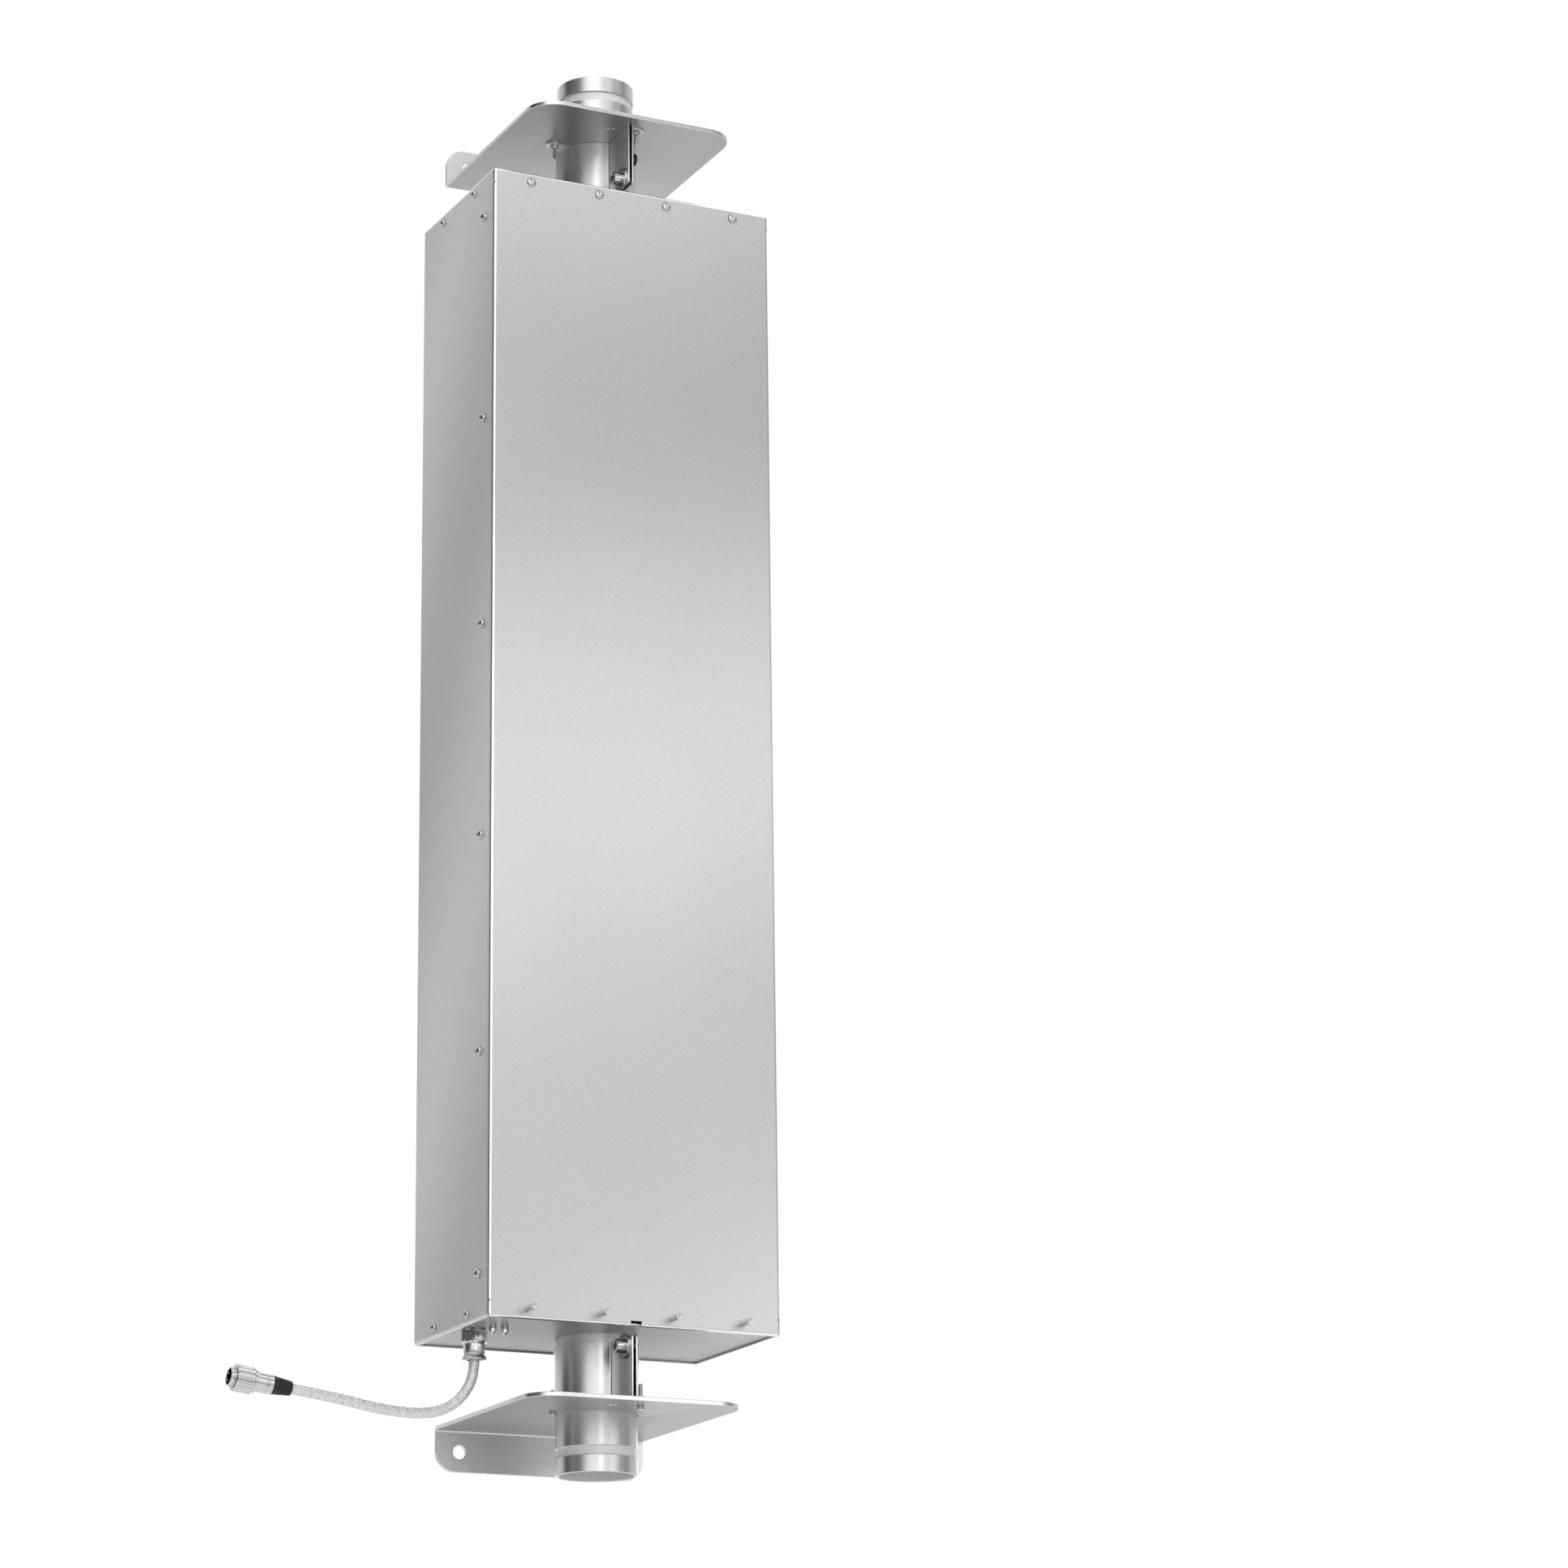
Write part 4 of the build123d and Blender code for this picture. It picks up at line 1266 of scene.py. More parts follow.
@dataclass
class WallBracket:
    """A folded wall plate with its split clamp sleeve and their screws."""

    end: End
    plate_width: float = 214.0
    plate_thickness: float = 4.0
    plate_front: float = 105.5
    plate_break: float = 0.45
    corner_radius: float = 30.0
    fold_radius: float = 6.0
    flange_height: float = 43.0
    flange_corner: float = 20.0
    tube_hole: float = 38.65
    wall_hole: float = 6.5
    wall_hole_spacing: float = 166.0
    wall_hole_drop: float = 24.0
    sleeve_radius: float = 38.1
    sleeve_sheet: float = 1.5
    sleeve_break: float = 0.2
    sleeve_height: float = 60.0
    ear_half_gap: float = 1.3
    ear_reach: float = 86.0
    ear_bend: float = 3.0
    ear_corner: float = 3.0
    ear_low_corner: float = 0.5
    pinch_y: float = -70.0
    pinch_level: float = 51.0
    pinch_hole: float = 4.4
    pinch_roll: float = 12.0
    washer_height: float = 2.0
    nut_height: float = 3.0
    screw_beyond: float = 4.5
    foot_half_width: float = 8.0
    foot_corner: float = 7.5
    foot_reach: float = 61.01
    ear_foot_reach: float = 17.31
    screw_hole: float = 2.2
    pilot_hole: float = 1.4
    foot_holes: tuple[Flat, ...] = field(default=((-50.23, -13.46), (36.77, 36.77), (9.5, -77.5)))
    pilot_holes: tuple[Flat, ...] = field(default=((-18.75, -73.0), (-13.25, -73.0)))

    def piece(self, shape: Shape, name: str, *finishes: Finish, place: Matrix | None = None) -> Piece:
        """Return one of the bracket's pieces, named for its end and put there."""
        at_end = self.end.place() @ (place or Matrix.Identity(4))
        return to_object(shape, f"{self.end.value}_{name}", finishes, at_end)

    def plate(self) -> Piece:
        """Make the folded plate with its tube hole, screw holes and wall holes.

        Returns:
            The piece.
        """
        half = self.plate_width / 2
        flat_run = self.plate_front + WALL_DISTANCE - self.fold_radius
        fold = self.fold_radius * math.pi / 2
        drop = self.flange_height - self.fold_radius
        path = FoldPath((-self.plate_front, 0.0), 0.0, ((flat_run, 0.0), (fold, -math.pi / 2), (drop, 0.0)))
        end, blunt, sharp = path.length(), self.corner_radius, self.flange_corner
        corners = ((0.0, -half, blunt), (end, -half, sharp), (end, half, sharp), (0.0, half, blunt))
        hole_line = flat_run + fold + self.wall_hole_drop - self.fold_radius
        holes = [circle((self.plate_front, 0.0), self.tube_hole, steps=96)]
        holes += [circle((self.plate_front + y, x), self.screw_hole, steps=24) for x, y in self.foot_holes]
        holes += [circle((self.plate_front + y, x), self.pilot_hole, steps=20) for x, y in self.pilot_holes]
        holes += [circle((hole_line, side * self.wall_hole_spacing / 2), self.wall_hole) for side in (-1, 1)]
        walls = (-self.plate_thickness, 0.0)
        outline = rounded(corners, steps=14)
        shape = folded(outline, holes, path, walls, self.plate_break, lambda point, x: (x, point.x, point.y))
        return self.piece(shape, "folded_plate", SATIN_PLATE, CUT_EDGE)

    def sleeve(self) -> Piece:
        """Make the sleeve: one strip bent round the tube, with its two ears bent forward.

        Returns:
            The piece.
        """
        inner = self.sleeve_radius
        bend_x = self.ear_half_gap + self.ear_bend
        bend_y = math.sqrt((inner + self.ear_bend) ** 2 - bend_x**2)
        turn = math.atan2(bend_y, bend_x)
        ear = ((self.ear_reach - bend_y, 0.0), (self.ear_bend * turn, turn))
        round_turn = 2 * turn + math.pi
        runs = (*ear, (inner * round_turn, -round_turn), *reversed(ear))
        path = FoldPath((-self.ear_half_gap, -self.ear_reach), math.pi / 2, runs)
        length, high, corner = path.length(), self.sleeve_height, self.ear_corner
        low_corner = self.ear_low_corner
        corners = ((0.0, 0.0, low_corner), (length, 0.0, low_corner), (length, high, corner), (0.0, high, corner))
        outline = rounded(corners, steps=6)
        hole = self.ear_reach + self.pinch_y
        holes = [circle((along, self.pinch_level), self.pinch_hole, steps=32) for along in (hole, length - hole)]
        walls = (0.0, self.sleeve_sheet)
        fine = math.radians(4.5)
        shape = folded(outline, holes, path, walls, self.sleeve_break, lambda point, z: (point.x, point.y, z), fine)
        return self.piece(shape, "split_sleeve", CLAMP_SHEET, CUT_EDGE)

    def foot(self, base: Vector, outward: Vector, root: float, reach: float, hole: float) -> Shape:
        """Make one rounded tab that lies on the plate.

        Args:
            base: the place from which its distances count.
            outward: its direction, a unit vector.
            root: the distance at which it starts.
            reach: the distance at which it ends.
            hole: the distance of its screw hole.

        Returns:
            The shape.
        """
        half, corner = self.foot_half_width, self.foot_corner
        corners = ((root, -half, 0.0), (reach, -half, corner), (reach, half, corner), (root, half, 0.0))
        path = FoldPath((0.0, 0.0), 0.0, ((1.0, 0.0),))
        sideways = Vector((-outward.y, outward.x))

        def spread(point: Vector, side: float) -> Place:
            """Return the place in space of a point of the tab's flat outline."""
            spot = base + outward * point.x + sideways * side
            return (spot.x, spot.y, point.y)

        holes = [circle((hole, 0.0), self.screw_hole, steps=24)]
        walls = (0.0, self.sleeve_sheet)
        return folded(rounded(corners, steps=8), holes, path, walls, self.sleeve_break, spread)

    def feet(self) -> Piece:
        """Make the sleeve's feet: two that point away from the tube, and one beside the ear.

        Returns:
            The piece.
        """
        shape = bmesh.new()
        *round_feet, (ear_x, ear_y) = self.foot_holes
        for spot in map(Vector, round_feet):
            root = self.sleeve_radius + self.sleeve_break
            join(shape, self.foot(Vector((0.0, 0.0)), spot.normalized(), root, self.foot_reach, spot.length))
        beside = Vector((0.0, ear_y))
        join(shape, self.foot(beside, Vector((1.0, 0.0)), self.ear_half_gap, self.ear_foot_reach, ear_x))
        return self.piece(shape, "sleeve_feet", CLAMP_SHEET, CUT_EDGE)

    def pinch(self) -> list[tuple[Piece, str]]:
        """Make the pinch screw, its washer and its clinch nut.

        Returns:
            Each piece with the node it replaces.
        """
        face = self.ear_half_gap + self.sleeve_sheet
        washer, nut, hole = self.washer_height, self.nut_height, self.pinch_hole
        length = 2 * face + washer + nut + self.screw_beyond
        thread = thread_rings(radius=4.0, pitch=1.25, start=length - 7.0, end=length)
        shank = [Ring(-ring.z, ring.r) for ring in reversed(thread)] + rings((8.0 - length, 3.9), (0.0, 3.9))
        head = socket_head_rings(radius=6.5, height=8.0, flats=6.0, depth=4.0)
        wide = turned(washer_rings(outer=12.0, bore=hole, high=washer, break_edge=0.25), steps=72, closed=True)
        clinch = turned(washer_rings(outer=6.0, bore=4.05, high=nut, break_edge=0.4), steps=48, closed=True)
        parts = (
            (turned(shank + head, steps=48), "socket_screw", "pinch_screw", -1.0, face + washer, self.pinch_roll),
            (wide, "wide_washer", "pinch_washer", -1.0, face, 0.0),
            (clinch, "clinch_nut", "pinch_nut", 1.0, face, 0.0),
        )
        pieces = []
        for shape, name, node, side, off, roll in parts:
            place = facing((side * off, self.pinch_y, self.pinch_level), (side, 0.0, 0.0), roll)
            pieces.append((self.piece(shape, name, BRIGHT_FASTENER, place=place), node))
        return pieces

    def foot_fasteners(self) -> list[tuple[Piece, str]]:
        """Make the foot screws and their nuts, each turned a little further than the last.

        Returns:
            Each piece with the node it replaces.
        """
        screws, nuts = bmesh.new(), bmesh.new()
        base = -self.plate_thickness
        head = reversed(socket_head_rings(radius=3.5, height=4.0, flats=3.0, depth=2.2))
        screw = [Ring(base - ring.z, ring.r, ring.flats) for ring in head] + rings((base, 1.95), (3.5, 1.95))
        screw += thread_rings(radius=2.0, pitch=0.7, start=3.6, end=16.0)
        nut = nut_rings(flats=7.0, bore=2.05, height=3.2)
        for index, (x, y) in enumerate(self.foot_holes):
            below = Matrix.Translation((x, y, 0.0)) @ Matrix.Rotation(0.7 + index, 4, "Z")
            join(screws, turned(screw, steps=36), below)
            above = Matrix.Translation((x, y, self.sleeve_sheet)) @ Matrix.Rotation(0.3 + 0.9 * index, 4, "Z")
            join(nuts, turned(nut, steps=36, closed=True), above)
        named = ((screws, "foot_cap_screws", "foot_screws"), (nuts, "foot_hex_nuts", "foot_nuts"))
        return [(self.piece(shape, name, BRIGHT_FASTENER), node) for shape, name, node in named]

    def build(self, ledger: Ledger) -> None:
        """Make the bracket's pieces and enter them.

        Args:
            ledger: where the pieces are entered.
        """
        name = self.end.value
        body = f"{name}_bracket"
        ledger.add(self.plate(), body, "plate", f"{name}_bracket_plate")
        sleeve = ledger.add(self.sleeve(), body, "sleeve", f"{name}_clamp_sleeve")
        feet = ledger.add(self.feet(), body, "sleeve")
        log.info("%s and %s stand for one node", sleeve.name, feet.name)
        for piece, node in self.pinch() + self.foot_fasteners():
            ledger.add(piece, body, "fastener", f"{name}_{node}")


@dataclass
class Spreader:
    """The dark screw on the upper right ear, which opens the clamp."""

    start: float = 2.8
    y: float = -70.0
    level: float = 28.0
    roll: float = 20.0
    head_radius: float = 6.2
    head_height: float = 6.0
    socket_flats: float = 5.0
    socket_depth: float = 3.0
    collar_radius: float = 5.0
    collar_height: float = 3.0

    def build(self, ledger: Ledger) -> None:
        """Make the screw and enter it.

        Args:
            ledger: where the piece is entered.
        """
        lift = self.collar_height
        head = socket_head_rings(self.head_radius, self.head_height, self.socket_flats, self.socket_depth)
        outline = rings((0.0, 0.0), (0.0, self.collar_radius), (lift, self.collar_radius))
        outline += [Ring(ring.z + lift, ring.r, ring.flats) for ring in head]
        place = End.UPPER.place() @ facing((self.start, self.y, self.level), (1.0, 0.0, 0.0), self.roll)
        piece = to_object(turned(outline, steps=48), "spreader_cap_screw", [BLACK_OXIDE], place)
        ledger.add(piece, "upper_bracket", "dark_screw", "spreader_screw")


@dataclass
class CableEntry:
    """The cable gland in the lower cap, and the block screws beside it."""

    x: float = -126.0
    y: float = -8.0
    face: float = 1.7
    thread_height: float = 7.5
    thread_radius: float = 9.0
    thread_chamfer: float = 0.4
    hex_flats: float = 22.0
    hex_height: float = 12.5
    hex_chamfer: float = 1.1
    hex_turn: float = 30.0
    barrel_radius: float = 10.2
    barrel_height: float = 10.5
    mouth_radius: float = 11.6
    mouth_height: float = 5.5
    bore: float = 6.5
    steps: int = 72
    screw_places: tuple[Flat, ...] = field(default=((-121.0, -39.0), (-109.0, -39.0)))

    def piece(self, outline: list[Ring], name: str, turn: float = 0.0) -> Piece:
        """Return a tubular piece of the gland, drawn downwards from the cap's face."""
        place = Matrix.Translation((self.x, self.y, self.face)) @ Matrix.Rotation(math.radians(turn), 4, "Z")
        return to_object(turned(outline, self.steps, closed=True), name, [NICKEL_PLATE], place)

    def gland(self) -> Piece:
        """Make the gland's body: thread, chamfered hexagon and barrel.

        Returns:
            The piece.
        """
        flats, bore, barrel = self.hex_flats, self.bore, self.barrel_radius
        corner, face = flats / math.sqrt(3), flats / 2 * 0.97
        thread, top, step = self.thread_radius, self.thread_height, self.thread_chamfer
        low, bevel = -self.hex_height, self.hex_chamfer
        end = -(self.hex_height + self.barrel_height)
        outline = rings((top, bore), (top, thread - step), (top - step, thread), (0.0, thread), (0.0, face, flats))
        outline += rings((-bevel, corner, flats), (low + bevel, corner, flats), (low, face, flats))
        outline += rings((low, barrel + 0.4), (low - 1.2, barrel - 0.6), (low - 1.8, barrel))
        outline += rings((end + 1.2, barrel), (end, barrel - 0.5), (end, bore))
        return self.piece(outline, "gland_hex_body", self.hex_turn)

    def mouth(self) -> Piece:
        """Make the gland's flared clamping ring.

        Returns:
            The piece.
        """
        top = -self.hex_height - self.barrel_height
        low = top - self.mouth_height
        flare, bore = self.mouth_radius, self.bore
        outline = rings((top, bore), (top, flare - 1.5), (top - 1.2, flare - 1.9), (top - 2.6, flare - 0.6))
        outline += rings((low + 1.4, flare), (low + 0.4, flare - 0.3), (low, flare - 1.0))
        outline += rings((low, bore + 0.8), (low + 0.8, bore))
        return self.piece(outline, "gland_flared_ring")

    def block_screws(self) -> Piece:
        """Make the two dome-headed screws that hold the terminal block from below.

        Returns:
            The piece.
        """
        shape = bmesh.new()
        shank = rings((8.0, 0.0), (8.0, 2.0), (0.0, 2.0), (0.0, 3.3), (-0.2, 3.5))
        dome = rings(*((-6.2 - 2.3 * math.sin(turn), 3.5 * math.cos(turn)) for turn in DOME_TURNS))
        for x, y in self.screw_places:
            screw = turned([*shank, *dome, Ring(-8.5, 0.0)], steps=36)
            join(shape, screw, Matrix.Translation((x, y, self.face)))
        return to_object(shape, "block_dome_screws", [NICKEL_PLATE])

    def build(self, ledger: Ledger) -> None:
        """Make the pieces and enter them.

        Args:
            ledger: where the pieces are entered.
        """
        ledger.add(self.gland(), "column", "nickel", "gland_body")
        ledger.add(self.mouth(), "column", "nickel", "gland_ring")
        ledger.add(self.block_screws(), "column", "fastener", "dome_screws")
        ledger.dress(NICKEL_PLATE, "gland_locknut")
        ledger.dress(SEAL_RUBBER, "gland_seal")
        ledger.dress(INSULATOR_RESIN, "terminal_block")


@dataclass
class SupplyCable:
    """The short braided cable, which repeats the route of the part's source, and its plug."""

    mouth: Place = (-126.0, -8.0, -26.8)
    diameter: float = 10.0
    length: float = 218.7
    route: tuple[Place, ...] = field(
        default=(
            (0.0, 0.0, 8.0),
            (0.0, 0.0, -10.0),
            (-5.8, 0.0, -26.0),
            (-16.7, -0.5, -39.0),
            (-32.3, -1.5, -48.0),
            (-54.0, -2.5, -52.5),
            (-92.0, -4.5, -51.0),
            (-136.0, -6.0, -43.0),
            (-180.0, -5.0, -37.0),
        )
    )
    core_steps: int = 20
    wire_radius: float = 0.28
    wires: int = 36
    wires_per_bundle: int = 3
    bundle_gap: float = 0.12
    wire_pitch: float = 34.0
    wire_step: float = 1.2
    boot_length: float = 18.0
    rib_count: int = 5
    rib_start: float = 2.0
    rib_pitch: float = 2.6
    neck_length: float = 16.0
    neck_radius: float = 9.0
    flange_length: float = 3.0
    flange_radius: float = 10.8
    nose_length: float = 22.0
    nose_radius: float = 8.6
    nose_bore: float = 7.4
    stop_at: float = 17.6
    stop_radius: float = 9.6
    insert_radius: float = 7.35
    insert_length: float = 11.0
    pin_radius: float = 1.6
    pin_length: float = 19.0
    pin_circle: float = 3.6
    pin_count: int = 3
    ring_radius: float = 12.5
    ring_bore: float = 8.66
    ring_length: float = 17.0
    ring_gap: float = 0.3

    def points(self) -> list[Vector]:
        """Return the route's points in the row's frame, in metres."""
        return [TO_ROW @ (Vector(self.mouth) + Vector(offset)) for offset in self.route]

    def line(self) -> list[Vector]:
        """Draw the route's own smooth spline.

        Returns:
            Points along it, in metres.
        """
        curve = bpy.data.curves.new("cable_route", "CURVE")
        curve.dimensions = "3D"
        spline = curve.splines.new("NURBS")
        points = self.points()
        spline.points.add(len(points) - 1)
        for control, point in zip(spline.points, points):
            control.co = (*point, 1.0)
        spline.order_u = 3
        spline.use_endpoint_u = True
        spline.resolution_u = 16
        carrier = bpy.data.objects.new("cable_route", curve)
        bpy.context.scene.collection.objects.link(carrier)
        mesh = bpy.data.meshes.new_from_object(carrier)
        line = [vert.co.copy() for vert in mesh.vertices]
        bpy.data.meshes.remove(mesh)
        bpy.data.objects.remove(carrier)
        bpy.data.curves.remove(curve)
        return line

    def core(self, line: list[Vector]) -> Piece:
        """Make the cable's core: a tube along the spline, on which the braid lies.

        Args:
            line: the spline's points, in metres.

        Returns:
            The piece.
        """
        shape = bmesh.new()
        steps = self.core_steps
        turns = [2 * math.pi * step / steps for step in range(steps)]
        radius = (self.diameter / 2 - 2.6 * self.wire_radius) * MM
        across = Vector((0.0, 1.0, 0.0))
        rows = []
        for index, point in enumerate(line):
            tangent = (line[min(index + 1, len(line) - 1)] - line[max(index - 1, 0)]).normalized()
            across = (across - tangent * across.dot(tangent)).normalized()
            side = tangent.cross(across)
            spokes = [(across * math.cos(turn) + side * math.sin(turn)) * radius for turn in turns]
            rows.append([shape.verts.new(point + spoke) for spoke in spokes])
        for low, high in zip(rows, rows[1:]):
            for index in range(steps):
                shape.faces.new((low[index - 1], low[index], high[index], high[index - 1]))
        shape.faces.new(rows[0])
        shape.faces.new(rows[-1])
        return to_object(shape, "supply_cable", [BRAID_SHADOW], TO_ROW.inverted())

    def braid(self, line: list[Vector], name: str, direction: float) -> Piece:
        """Make the wires of one direction of the braid.

        Args:
            line: the spline's points, in metres.
            name: the piece's name.
            direction: one or minus one, the way that the wires wind.

        Returns:
            The piece.
        """
        carrier = bpy.data.meshes.new(name + "_line")
        carrier.from_pydata(line, [(index, index + 1) for index in range(len(line) - 1)], [])
        values = {
            "Wires": self.wires,
            "Wires per bundle": self.wires_per_bundle,
            "Gap": self.bundle_gap,
            "Pitch": direction * self.wire_pitch * MM,
            "Radius": (self.diameter / 2 - 1.75 * self.wire_radius) * MM,
            "Rise": 0.75 * self.wire_radius * MM,
            "Weave": direction,
            "Wire radius": self.wire_radius * MM,
            "Step": self.wire_step * MM,
            "Finish": TINNED_WIRE.material(),
        }
        piece = grown(carrier, name, braid_tree(), values)
        piece.data.shade_smooth()
        return piece

    def at_end(self) -> Matrix:
        """Return the place of a piece drawn along Z from the cable's end."""
        end, before = (Vector(self.mouth) + Vector(self.route[index]) for index in (-1, -2))
        return facing(tuple(end), tuple(end - before))

    def nose(self) -> float:
        """Return how far the plug's nose starts from the cable's end."""
        return self.boot_length + self.neck_length + self.flange_length

    def boot(self) -> Piece:
        """Make the tapered boot, with shallow ribs round it.

        Returns:
            The piece.
        """
        long = self.boot_length
        outline = rings((0.0, 0.0), (0.0, 6.1), (0.5, 6.6))
        for index in range(self.rib_count):
            base = self.rib_start + index * self.rib_pitch
            radius = 6.6 + 1.9 * base / long
            outline += rings((base, radius), (base + 0.3, radius - 0.6), (base + 1.1, radius - 0.6))
            outline += rings((base + 1.4, radius + 0.15))
        outline += rings((long - 0.3, 8.5), (long, 8.2), (long, 0.0))
        return to_object(turned(outline, steps=48), "plug_ribbed_boot", [SEAL_RUBBER], self.at_end())

    def shell(self) -> Piece:
        """Make the plug's metal shell: neck, flange, and hollow nose with its stop.

        Returns:
            The piece.
        """
        base, nose = self.boot_length, self.nose()
        flange, end, stop = base + self.neck_length, nose + self.nose_length, nose + self.stop_at
        neck, rim, tube = self.neck_radius, self.flange_radius, self.nose_radius
        bore, ridge = self.nose_bore, self.stop_radius
        outline = rings((base, 0.0), (base, neck - 0.6), (base + 0.6, neck), (base + 5.0, neck))
        outline += rings((base + 5.4, neck - 0.4), (base + 7.0, neck - 0.4), (base + 7.4, neck), (flange, neck))
        outline += rings((flange, rim - 0.4), (flange + 0.4, rim), (nose - 0.4, rim), (nose, rim - 0.4))
        outline += rings((nose, tube), (stop, tube), (stop, ridge - 0.3), (stop + 0.3, ridge), (stop + 1.2, ridge))
        outline += rings((stop + 1.5, ridge - 0.3), (stop + 1.5, tube), (end - 0.3, tube), (end, tube - 0.3))
        outline += rings((end, bore + 0.2), (end - 0.2, bore), (nose, bore), (nose, 0.0))
        return to_object(turned(outline, steps=60), "plug_metal_shell", [NICKEL_PLATE], self.at_end())

    def contacts(self) -> Piece:
        """Make the plug's insert with its contact pins, which use the second material.

        Returns:
            The piece.
        """
        nose, wide, thin = self.nose(), self.insert_radius, self.pin_radius
        top, tip = nose + self.insert_length, nose + self.pin_length
        body = rings((nose, 0.0), (nose, wide), (top - 0.3, wide), (top, wide - 0.3), (top, 0.0))
        pin = rings((top - 0.5, 0.0), (top - 0.5, thin), (tip - 0.8, thin), (tip, thin / 2), (tip, 0.0))
        shape, pins = bmesh.new(), bmesh.new()
        join(shape, turned(body, steps=48))
        for index in range(self.pin_count):
            turn = 2 * math.pi * index / self.pin_count
            across, along = self.pin_circle * math.cos(turn), self.pin_circle * math.sin(turn)
            join(pins, turned(pin, steps=24), Matrix.Translation((across, along, 0.0)))
        for face in pins.faces:
            face.material_index = 1
        join(shape, pins)
        return to_object(shape, "plug_contact_insert", [INSULATOR_RESIN, NICKEL_PLATE], self.at_end())

    def ring(self) -> Piece:
        """Make the coupling ring with its grooves.

        Returns:
            The piece.
        """
        start, bore, outer = self.nose() + self.ring_gap, self.ring_bore, self.ring_radius
        end = start + self.ring_length
        grooved = [Ring(level, outer, flutes=16, flute_radius=0.9) for level in (start + 2.4, end - 2.4)]
        outline = rings((start, bore), (start, outer - 0.5), (start + 0.5, outer), (start + 2.2, outer)) + grooved
        outline += rings((end - 2.2, outer), (end - 0.5, outer), (end, outer - 0.5), (end, bore))
        shape = turned(outline, steps=192, closed=True)
        return to_object(shape, "grooved_coupling_ring", [NICKEL_PLATE], self.at_end())

    def build(self, ledger: Ledger) -> None:
        """Make the cable, its braid and its plug, and enter them.

        Args:
            ledger: where the pieces are entered.
        """
        line = self.line()
        run = sum((after - before).length for before, after in zip(line, line[1:]))
        log.info("the cable's spline is %.1f mm long, the tube %.1f mm", run / MM, self.length)
        core = ledger.add(self.core(line), "column", "braid", "hf_cable")
        windings = (("braid_wires_right", 1.0), ("braid_wires_left", -1.0))
        with_core = [ledger.add(self.braid(line, name, way), "column", "braid") for name, way in windings]
        with_core += [
            ledger.add(self.boot(), "column", "seal", "plug_boot"),
            ledger.add(self.shell(), "column", "nickel", "plug_shell"),
            ledger.add(self.contacts(), "column", "insulator", "plug_insert"),
            ledger.add(self.ring(), "coupling_ring", "nickel", "coupling_ring"),
        ]
        tuple(self.points()[0])


@dataclass
class Transducers:
    """The transducer stacks inside the housing, whose CAD shapes stay."""

    sides: tuple[str, ...] = ("left", "right")

    def build(self, ledger: Ledger) -> None:
        """Dress the stacks.

        Args:
            ledger: where the nodes are dressed.
        """
        for side in self.sides:
            ledger.dress(HORN_ALLOY, f"{side}_horn_blocks")
            ledger.dress(PIEZO_CERAMIC, f"{side}_piezo_rings")
            ledger.dress(SHEET_COPPER, f"{side}_electrodes", f"{side}_live_bus")
            ledger.dress(MASS_STEEL, f"{side}_back_masses", f"{side}_preload_bolts")


# The studio


@dataclass(frozen=True)
class Tone:
    """A soft bright or grey patch of the room, as metal mirrors it; its angles are in degrees."""

    turn: float
    lift: float
    inner: float
    outer: float
    strength: float

    def aim(self) -> Place:
        """Return the direction of the patch's middle.

        Returns:
            A unit vector.
        """
        across, away, up = (math.sin(math.radians(angle)) for angle in (self.turn, self.turn - 90.0, self.lift))
        level = math.cos(math.radians(self.lift))
        return (level * across, level * away, up)


@dataclass(frozen=True)
class Lamp:
    """One soft rectangular lamp: its place and aim in metres, its size and its power."""

    name: str
    place: Place
    aim: Place
    size: Flat
    power: float

    def hang(self) -> None:
        """Hang the lamp."""
        data = bpy.data.lights.new(self.name, "AREA")
        data.shape = "RECTANGLE"
        data.size, data.size_y = self.size
        data.energy = self.power
        lamp = bpy.data.objects.new(self.name, data)
        turn = (Vector(self.aim) - Vector(self.place)).to_track_quat("-Z", "Y").to_matrix().to_4x4()
        lamp.matrix_world = Matrix.Translation(self.place) @ turn
        bpy.context.scene.collection.objects.link(lamp)


MIDDLE = (0.0, -0.13, -0.65)


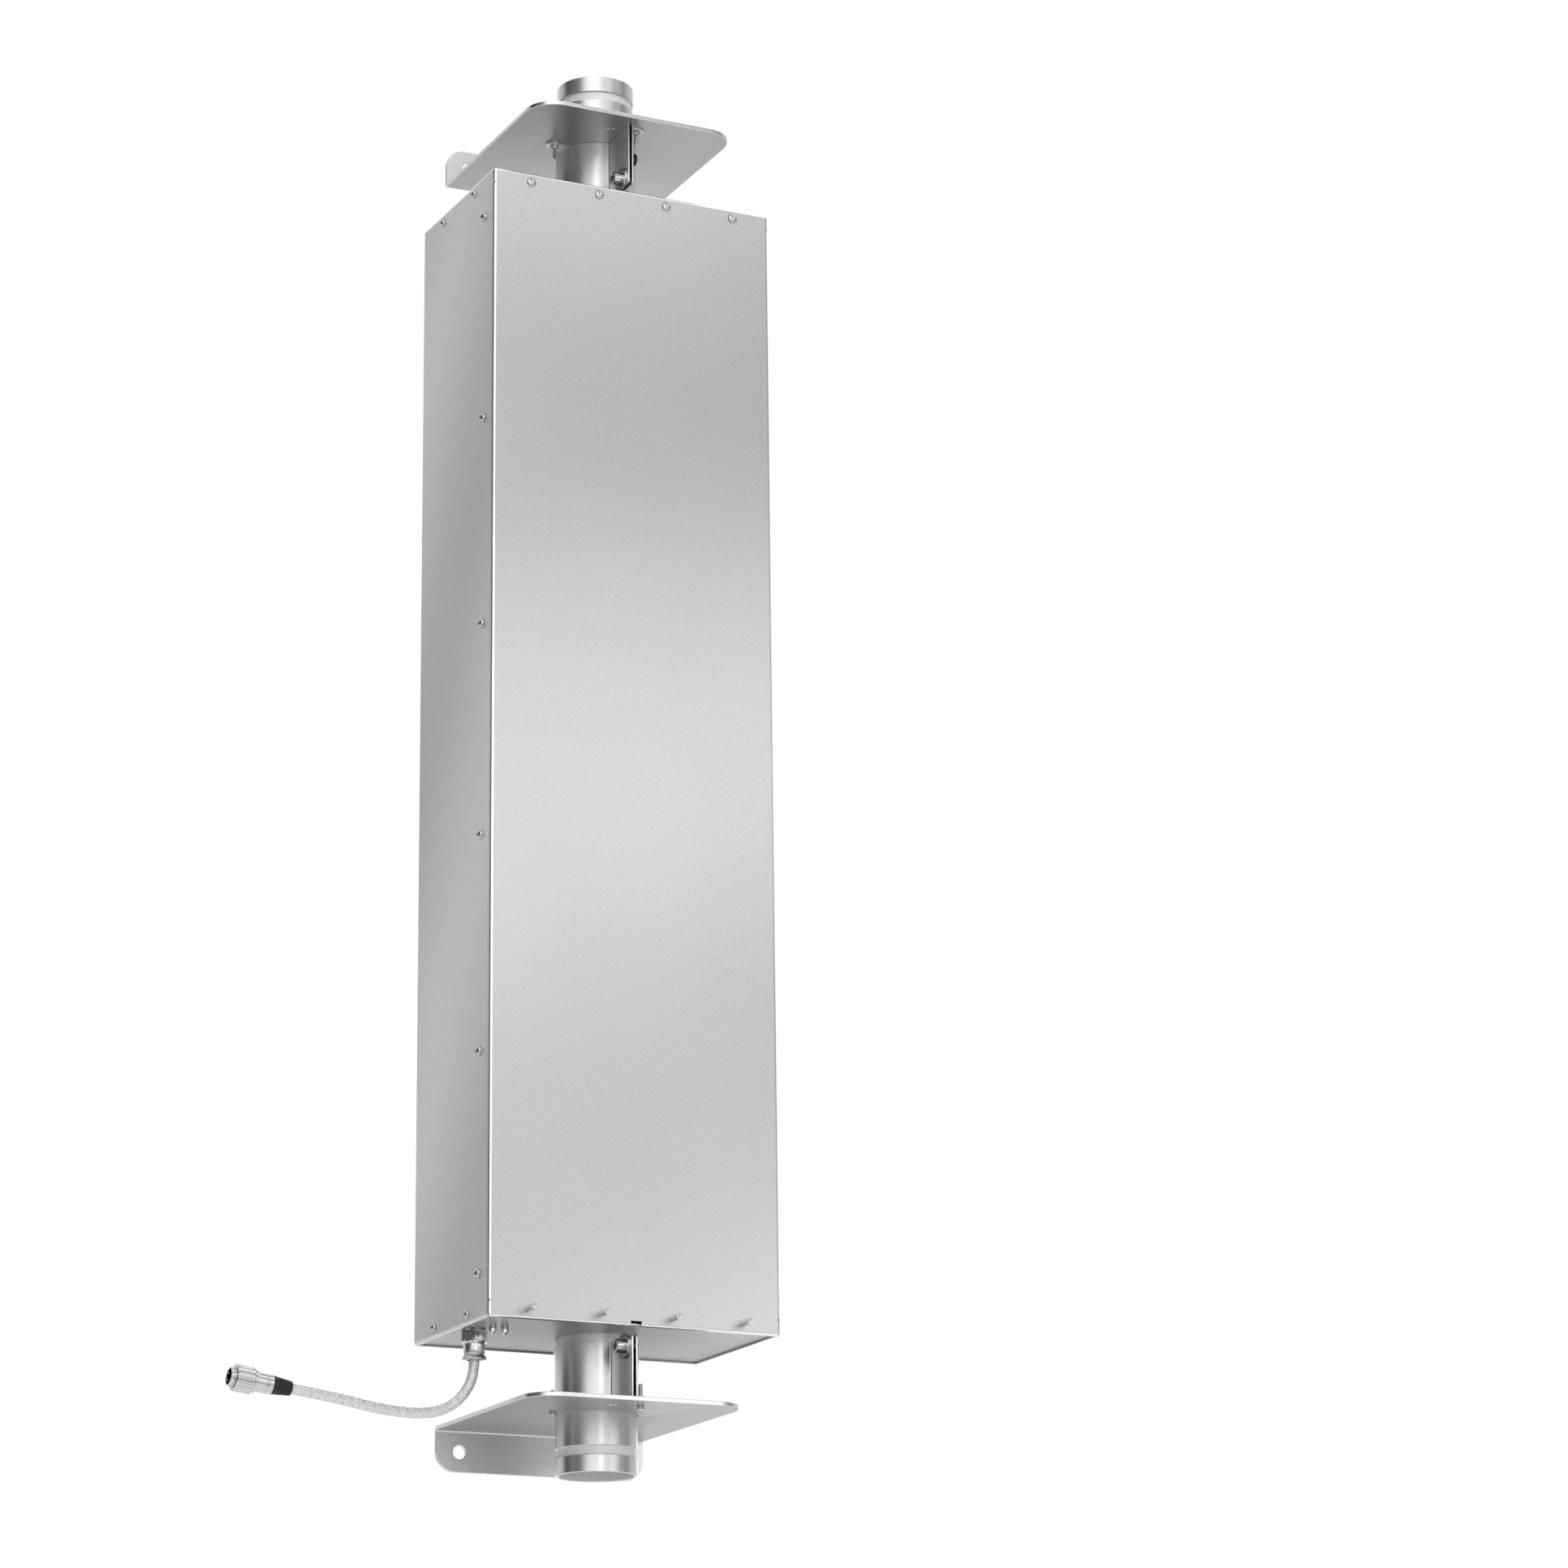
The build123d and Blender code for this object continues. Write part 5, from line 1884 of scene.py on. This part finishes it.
@dataclass
class Studio:
    """Camera, lamps, world and floor."""

    eye: Place = (-1.7949, -4.1495, -1.9403)
    heading: float = -0.46154
    tilt: float = 0.27981
    roll: float = 0.01238
    lens: float = 109.11
    sensor: float = 36.0
    clip_end: float = 60.0
    floor_level: float = -2.45
    floor_size: float = 14.0
    floor_glow: float = 0.5
    floor_roughness: float = 0.7
    floor_tones: Flat = (0.86, 0.92)
    pool: Flat = (2.6, 5.0)
    fill_level: float = 0.55
    white_level: float = 1.0
    room_tones: tuple[Tone, ...] = (
        Tone(-16.0, 14.0, 12.0, 45.0, 0.35),
        Tone(-40.0, 28.0, 6.0, 28.0, 0.50),
        Tone(24.0, 46.0, 6.0, 32.0, -0.35),
        Tone(-94.0, 10.0, 12.0, 47.0, -0.85),
        Tone(-128.0, 38.0, 10.0, 34.0, -0.20),
        Tone(-140.0, 12.0, 10.0, 36.0, -0.20),
        Tone(54.0, 18.0, 8.0, 41.0, -0.44),
        Tone(92.0, 15.0, 12.0, 45.0, -0.25),
        Tone(156.0, -4.0, 8.0, 32.0, 0.95),
    )
    lamps: tuple[Lamp, ...] = (
        Lamp("key_lamp", (1.2, -3.3, 0.4), MIDDLE, (1.0, 1.6), 3.0),
        Lamp("top_lamp", (1.5, -1.5, 2.2), MIDDLE, (1.6, 1.6), 6.0),
        Lamp("strip_lamp", (-0.6, -3.3, -0.4), (0.0, 0.0, -0.1), (0.7, 2.4), 4.0),
        Lamp("upper_lamp", (-1.2, -3.3, 0.75), (0.0, -0.13, -0.05), (0.9, 0.6), 4.5),
        Lamp("near_lamp", (0.61, -1.22, -0.97), (0.12, -0.22, -1.16), (0.5, 0.4), 0.65),
    )

    def camera(self) -> None:
        """Set the camera at the photograph's viewpoint."""
        data = bpy.data.cameras.new("viewpoint")
        data.lens = self.lens
        data.sensor_width = self.sensor
        data.clip_end = self.clip_end
        camera = bpy.data.objects.new("viewpoint", data)
        turn = Matrix.Rotation(self.heading, 4, "Z") @ Matrix.Rotation(self.tilt, 4, "X")
        turn = turn @ Matrix.Rotation(self.roll, 4, "Y") @ Matrix.Rotation(math.pi / 2, 4, "X")
        camera.matrix_world = Matrix.Translation(self.eye) @ turn
        bpy.context.scene.collection.objects.link(camera)
        bpy.context.scene.camera = camera

    def floor(self) -> None:
        """Lay the pale floor under the object."""
        half = self.floor_size / 2
        mesh = bpy.data.meshes.new("studio_floor")
        corners = [(-half, -half), (half, -half), (half, half), (-half, half)]
        mesh.from_pydata([(x, y, self.floor_level) for x, y in corners], [], [(0, 1, 2, 3)])
        paint = bpy.data.materials.new("pale_floor")
        paint.use_nodes = True
        graph = Graph(paint.node_tree)
        place = graph.place()
        tone = graph.ranged(graph.noise(place, 1.5), *self.floor_tones)
        colour = graph.add("ShaderNodeCombineColor", {0: tone, 1: tone, 2: tone})
        path = graph.add("ShaderNodeLightPath")
        seen = graph.math("MAXIMUM", path.outputs["Is Camera Ray"], path.outputs["Is Transmission Ray"])
        pool = graph.ranged(graph.vector("LENGTH", place), 1.0, 0.0, *self.pool)
        mirrored = graph.times(path.outputs["Is Glossy Ray"], pool)
        inputs = {
            "Base Color": colour.outputs[0],
            "Roughness": self.floor_roughness,
            "Emission Color": WHITE,
            "Emission Strength": graph.times(graph.math("MAXIMUM", seen, mirrored), self.floor_glow),
        }
        shader = graph.add("ShaderNodeBsdfPrincipled", inputs)
        graph.add("ShaderNodeOutputMaterial", {"Surface": shader.outputs[0]})
        mesh.materials.append(paint)
        floor = bpy.data.objects.new("studio_floor", mesh)
        bpy.context.scene.collection.objects.link(floor)

    def world(self) -> None:
        """Make the world: white where it is seen, a studio's soft tones in metal, and a plain fill light."""
        world = bpy.data.worlds.new("studio")
        world.use_nodes = True
        bpy.context.scene.world = world
        graph = Graph(world.node_tree)
        direction = graph.add("ShaderNodeTexCoord").outputs["Generated"]
        room: object = self.white_level
        for tone in self.room_tones:
            towards = graph.vector("DOT_PRODUCT", direction, tone.aim())
            start, stop = (math.cos(math.radians(angle)) for angle in (tone.outer, tone.inner))
            patch = graph.ranged(towards, 0.0, tone.strength, start, stop, interpolation_type="SMOOTHERSTEP")
            room = graph.plus(room, patch)
        path = graph.add("ShaderNodeLightPath")
        clear = graph.math("MAXIMUM", path.outputs["Is Camera Ray"], path.outputs["Is Transmission Ray"])
        fill = graph.add("ShaderNodeMix", {"Factor": path.outputs["Is Glossy Ray"], "A": self.fill_level, "B": room})
        seen = graph.add("ShaderNodeMix", {"Factor": clear, "A": fill.outputs[0], "B": self.white_level})
        white = graph.add("ShaderNodeBackground", {"Color": WHITE, "Strength": seen.outputs[0]})
        graph.add("ShaderNodeOutputWorld", {"Surface": white.outputs[0]})

    def build(self) -> None:
        """Set up everything round the object."""
        bpy.context.scene.view_settings.view_transform = "Standard"
        self.camera()
        self.world()
        self.floor()
        for lamp in self.lamps:
            lamp.hang()


def main() -> None:
    """Load the frame, dress the reactor and set the studio."""
    logging.basicConfig(level=logging.INFO, format="%(name)s: %(message)s", stream=sys.stdout)
    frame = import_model()
    ledger = Ledger(frame["nodes"])
    Studio().build()
    brackets = (WallBracket(End.UPPER), WallBracket(End.LOWER))
    for assembly in (SupplyCable(), FlowTube(), Housing(), *brackets, Spreader(), CableEntry(), Transducers()):
        assembly.build(ledger)
    log.info("%s pieces entered", ledger.count)


if __name__ == "__main__":
    main()
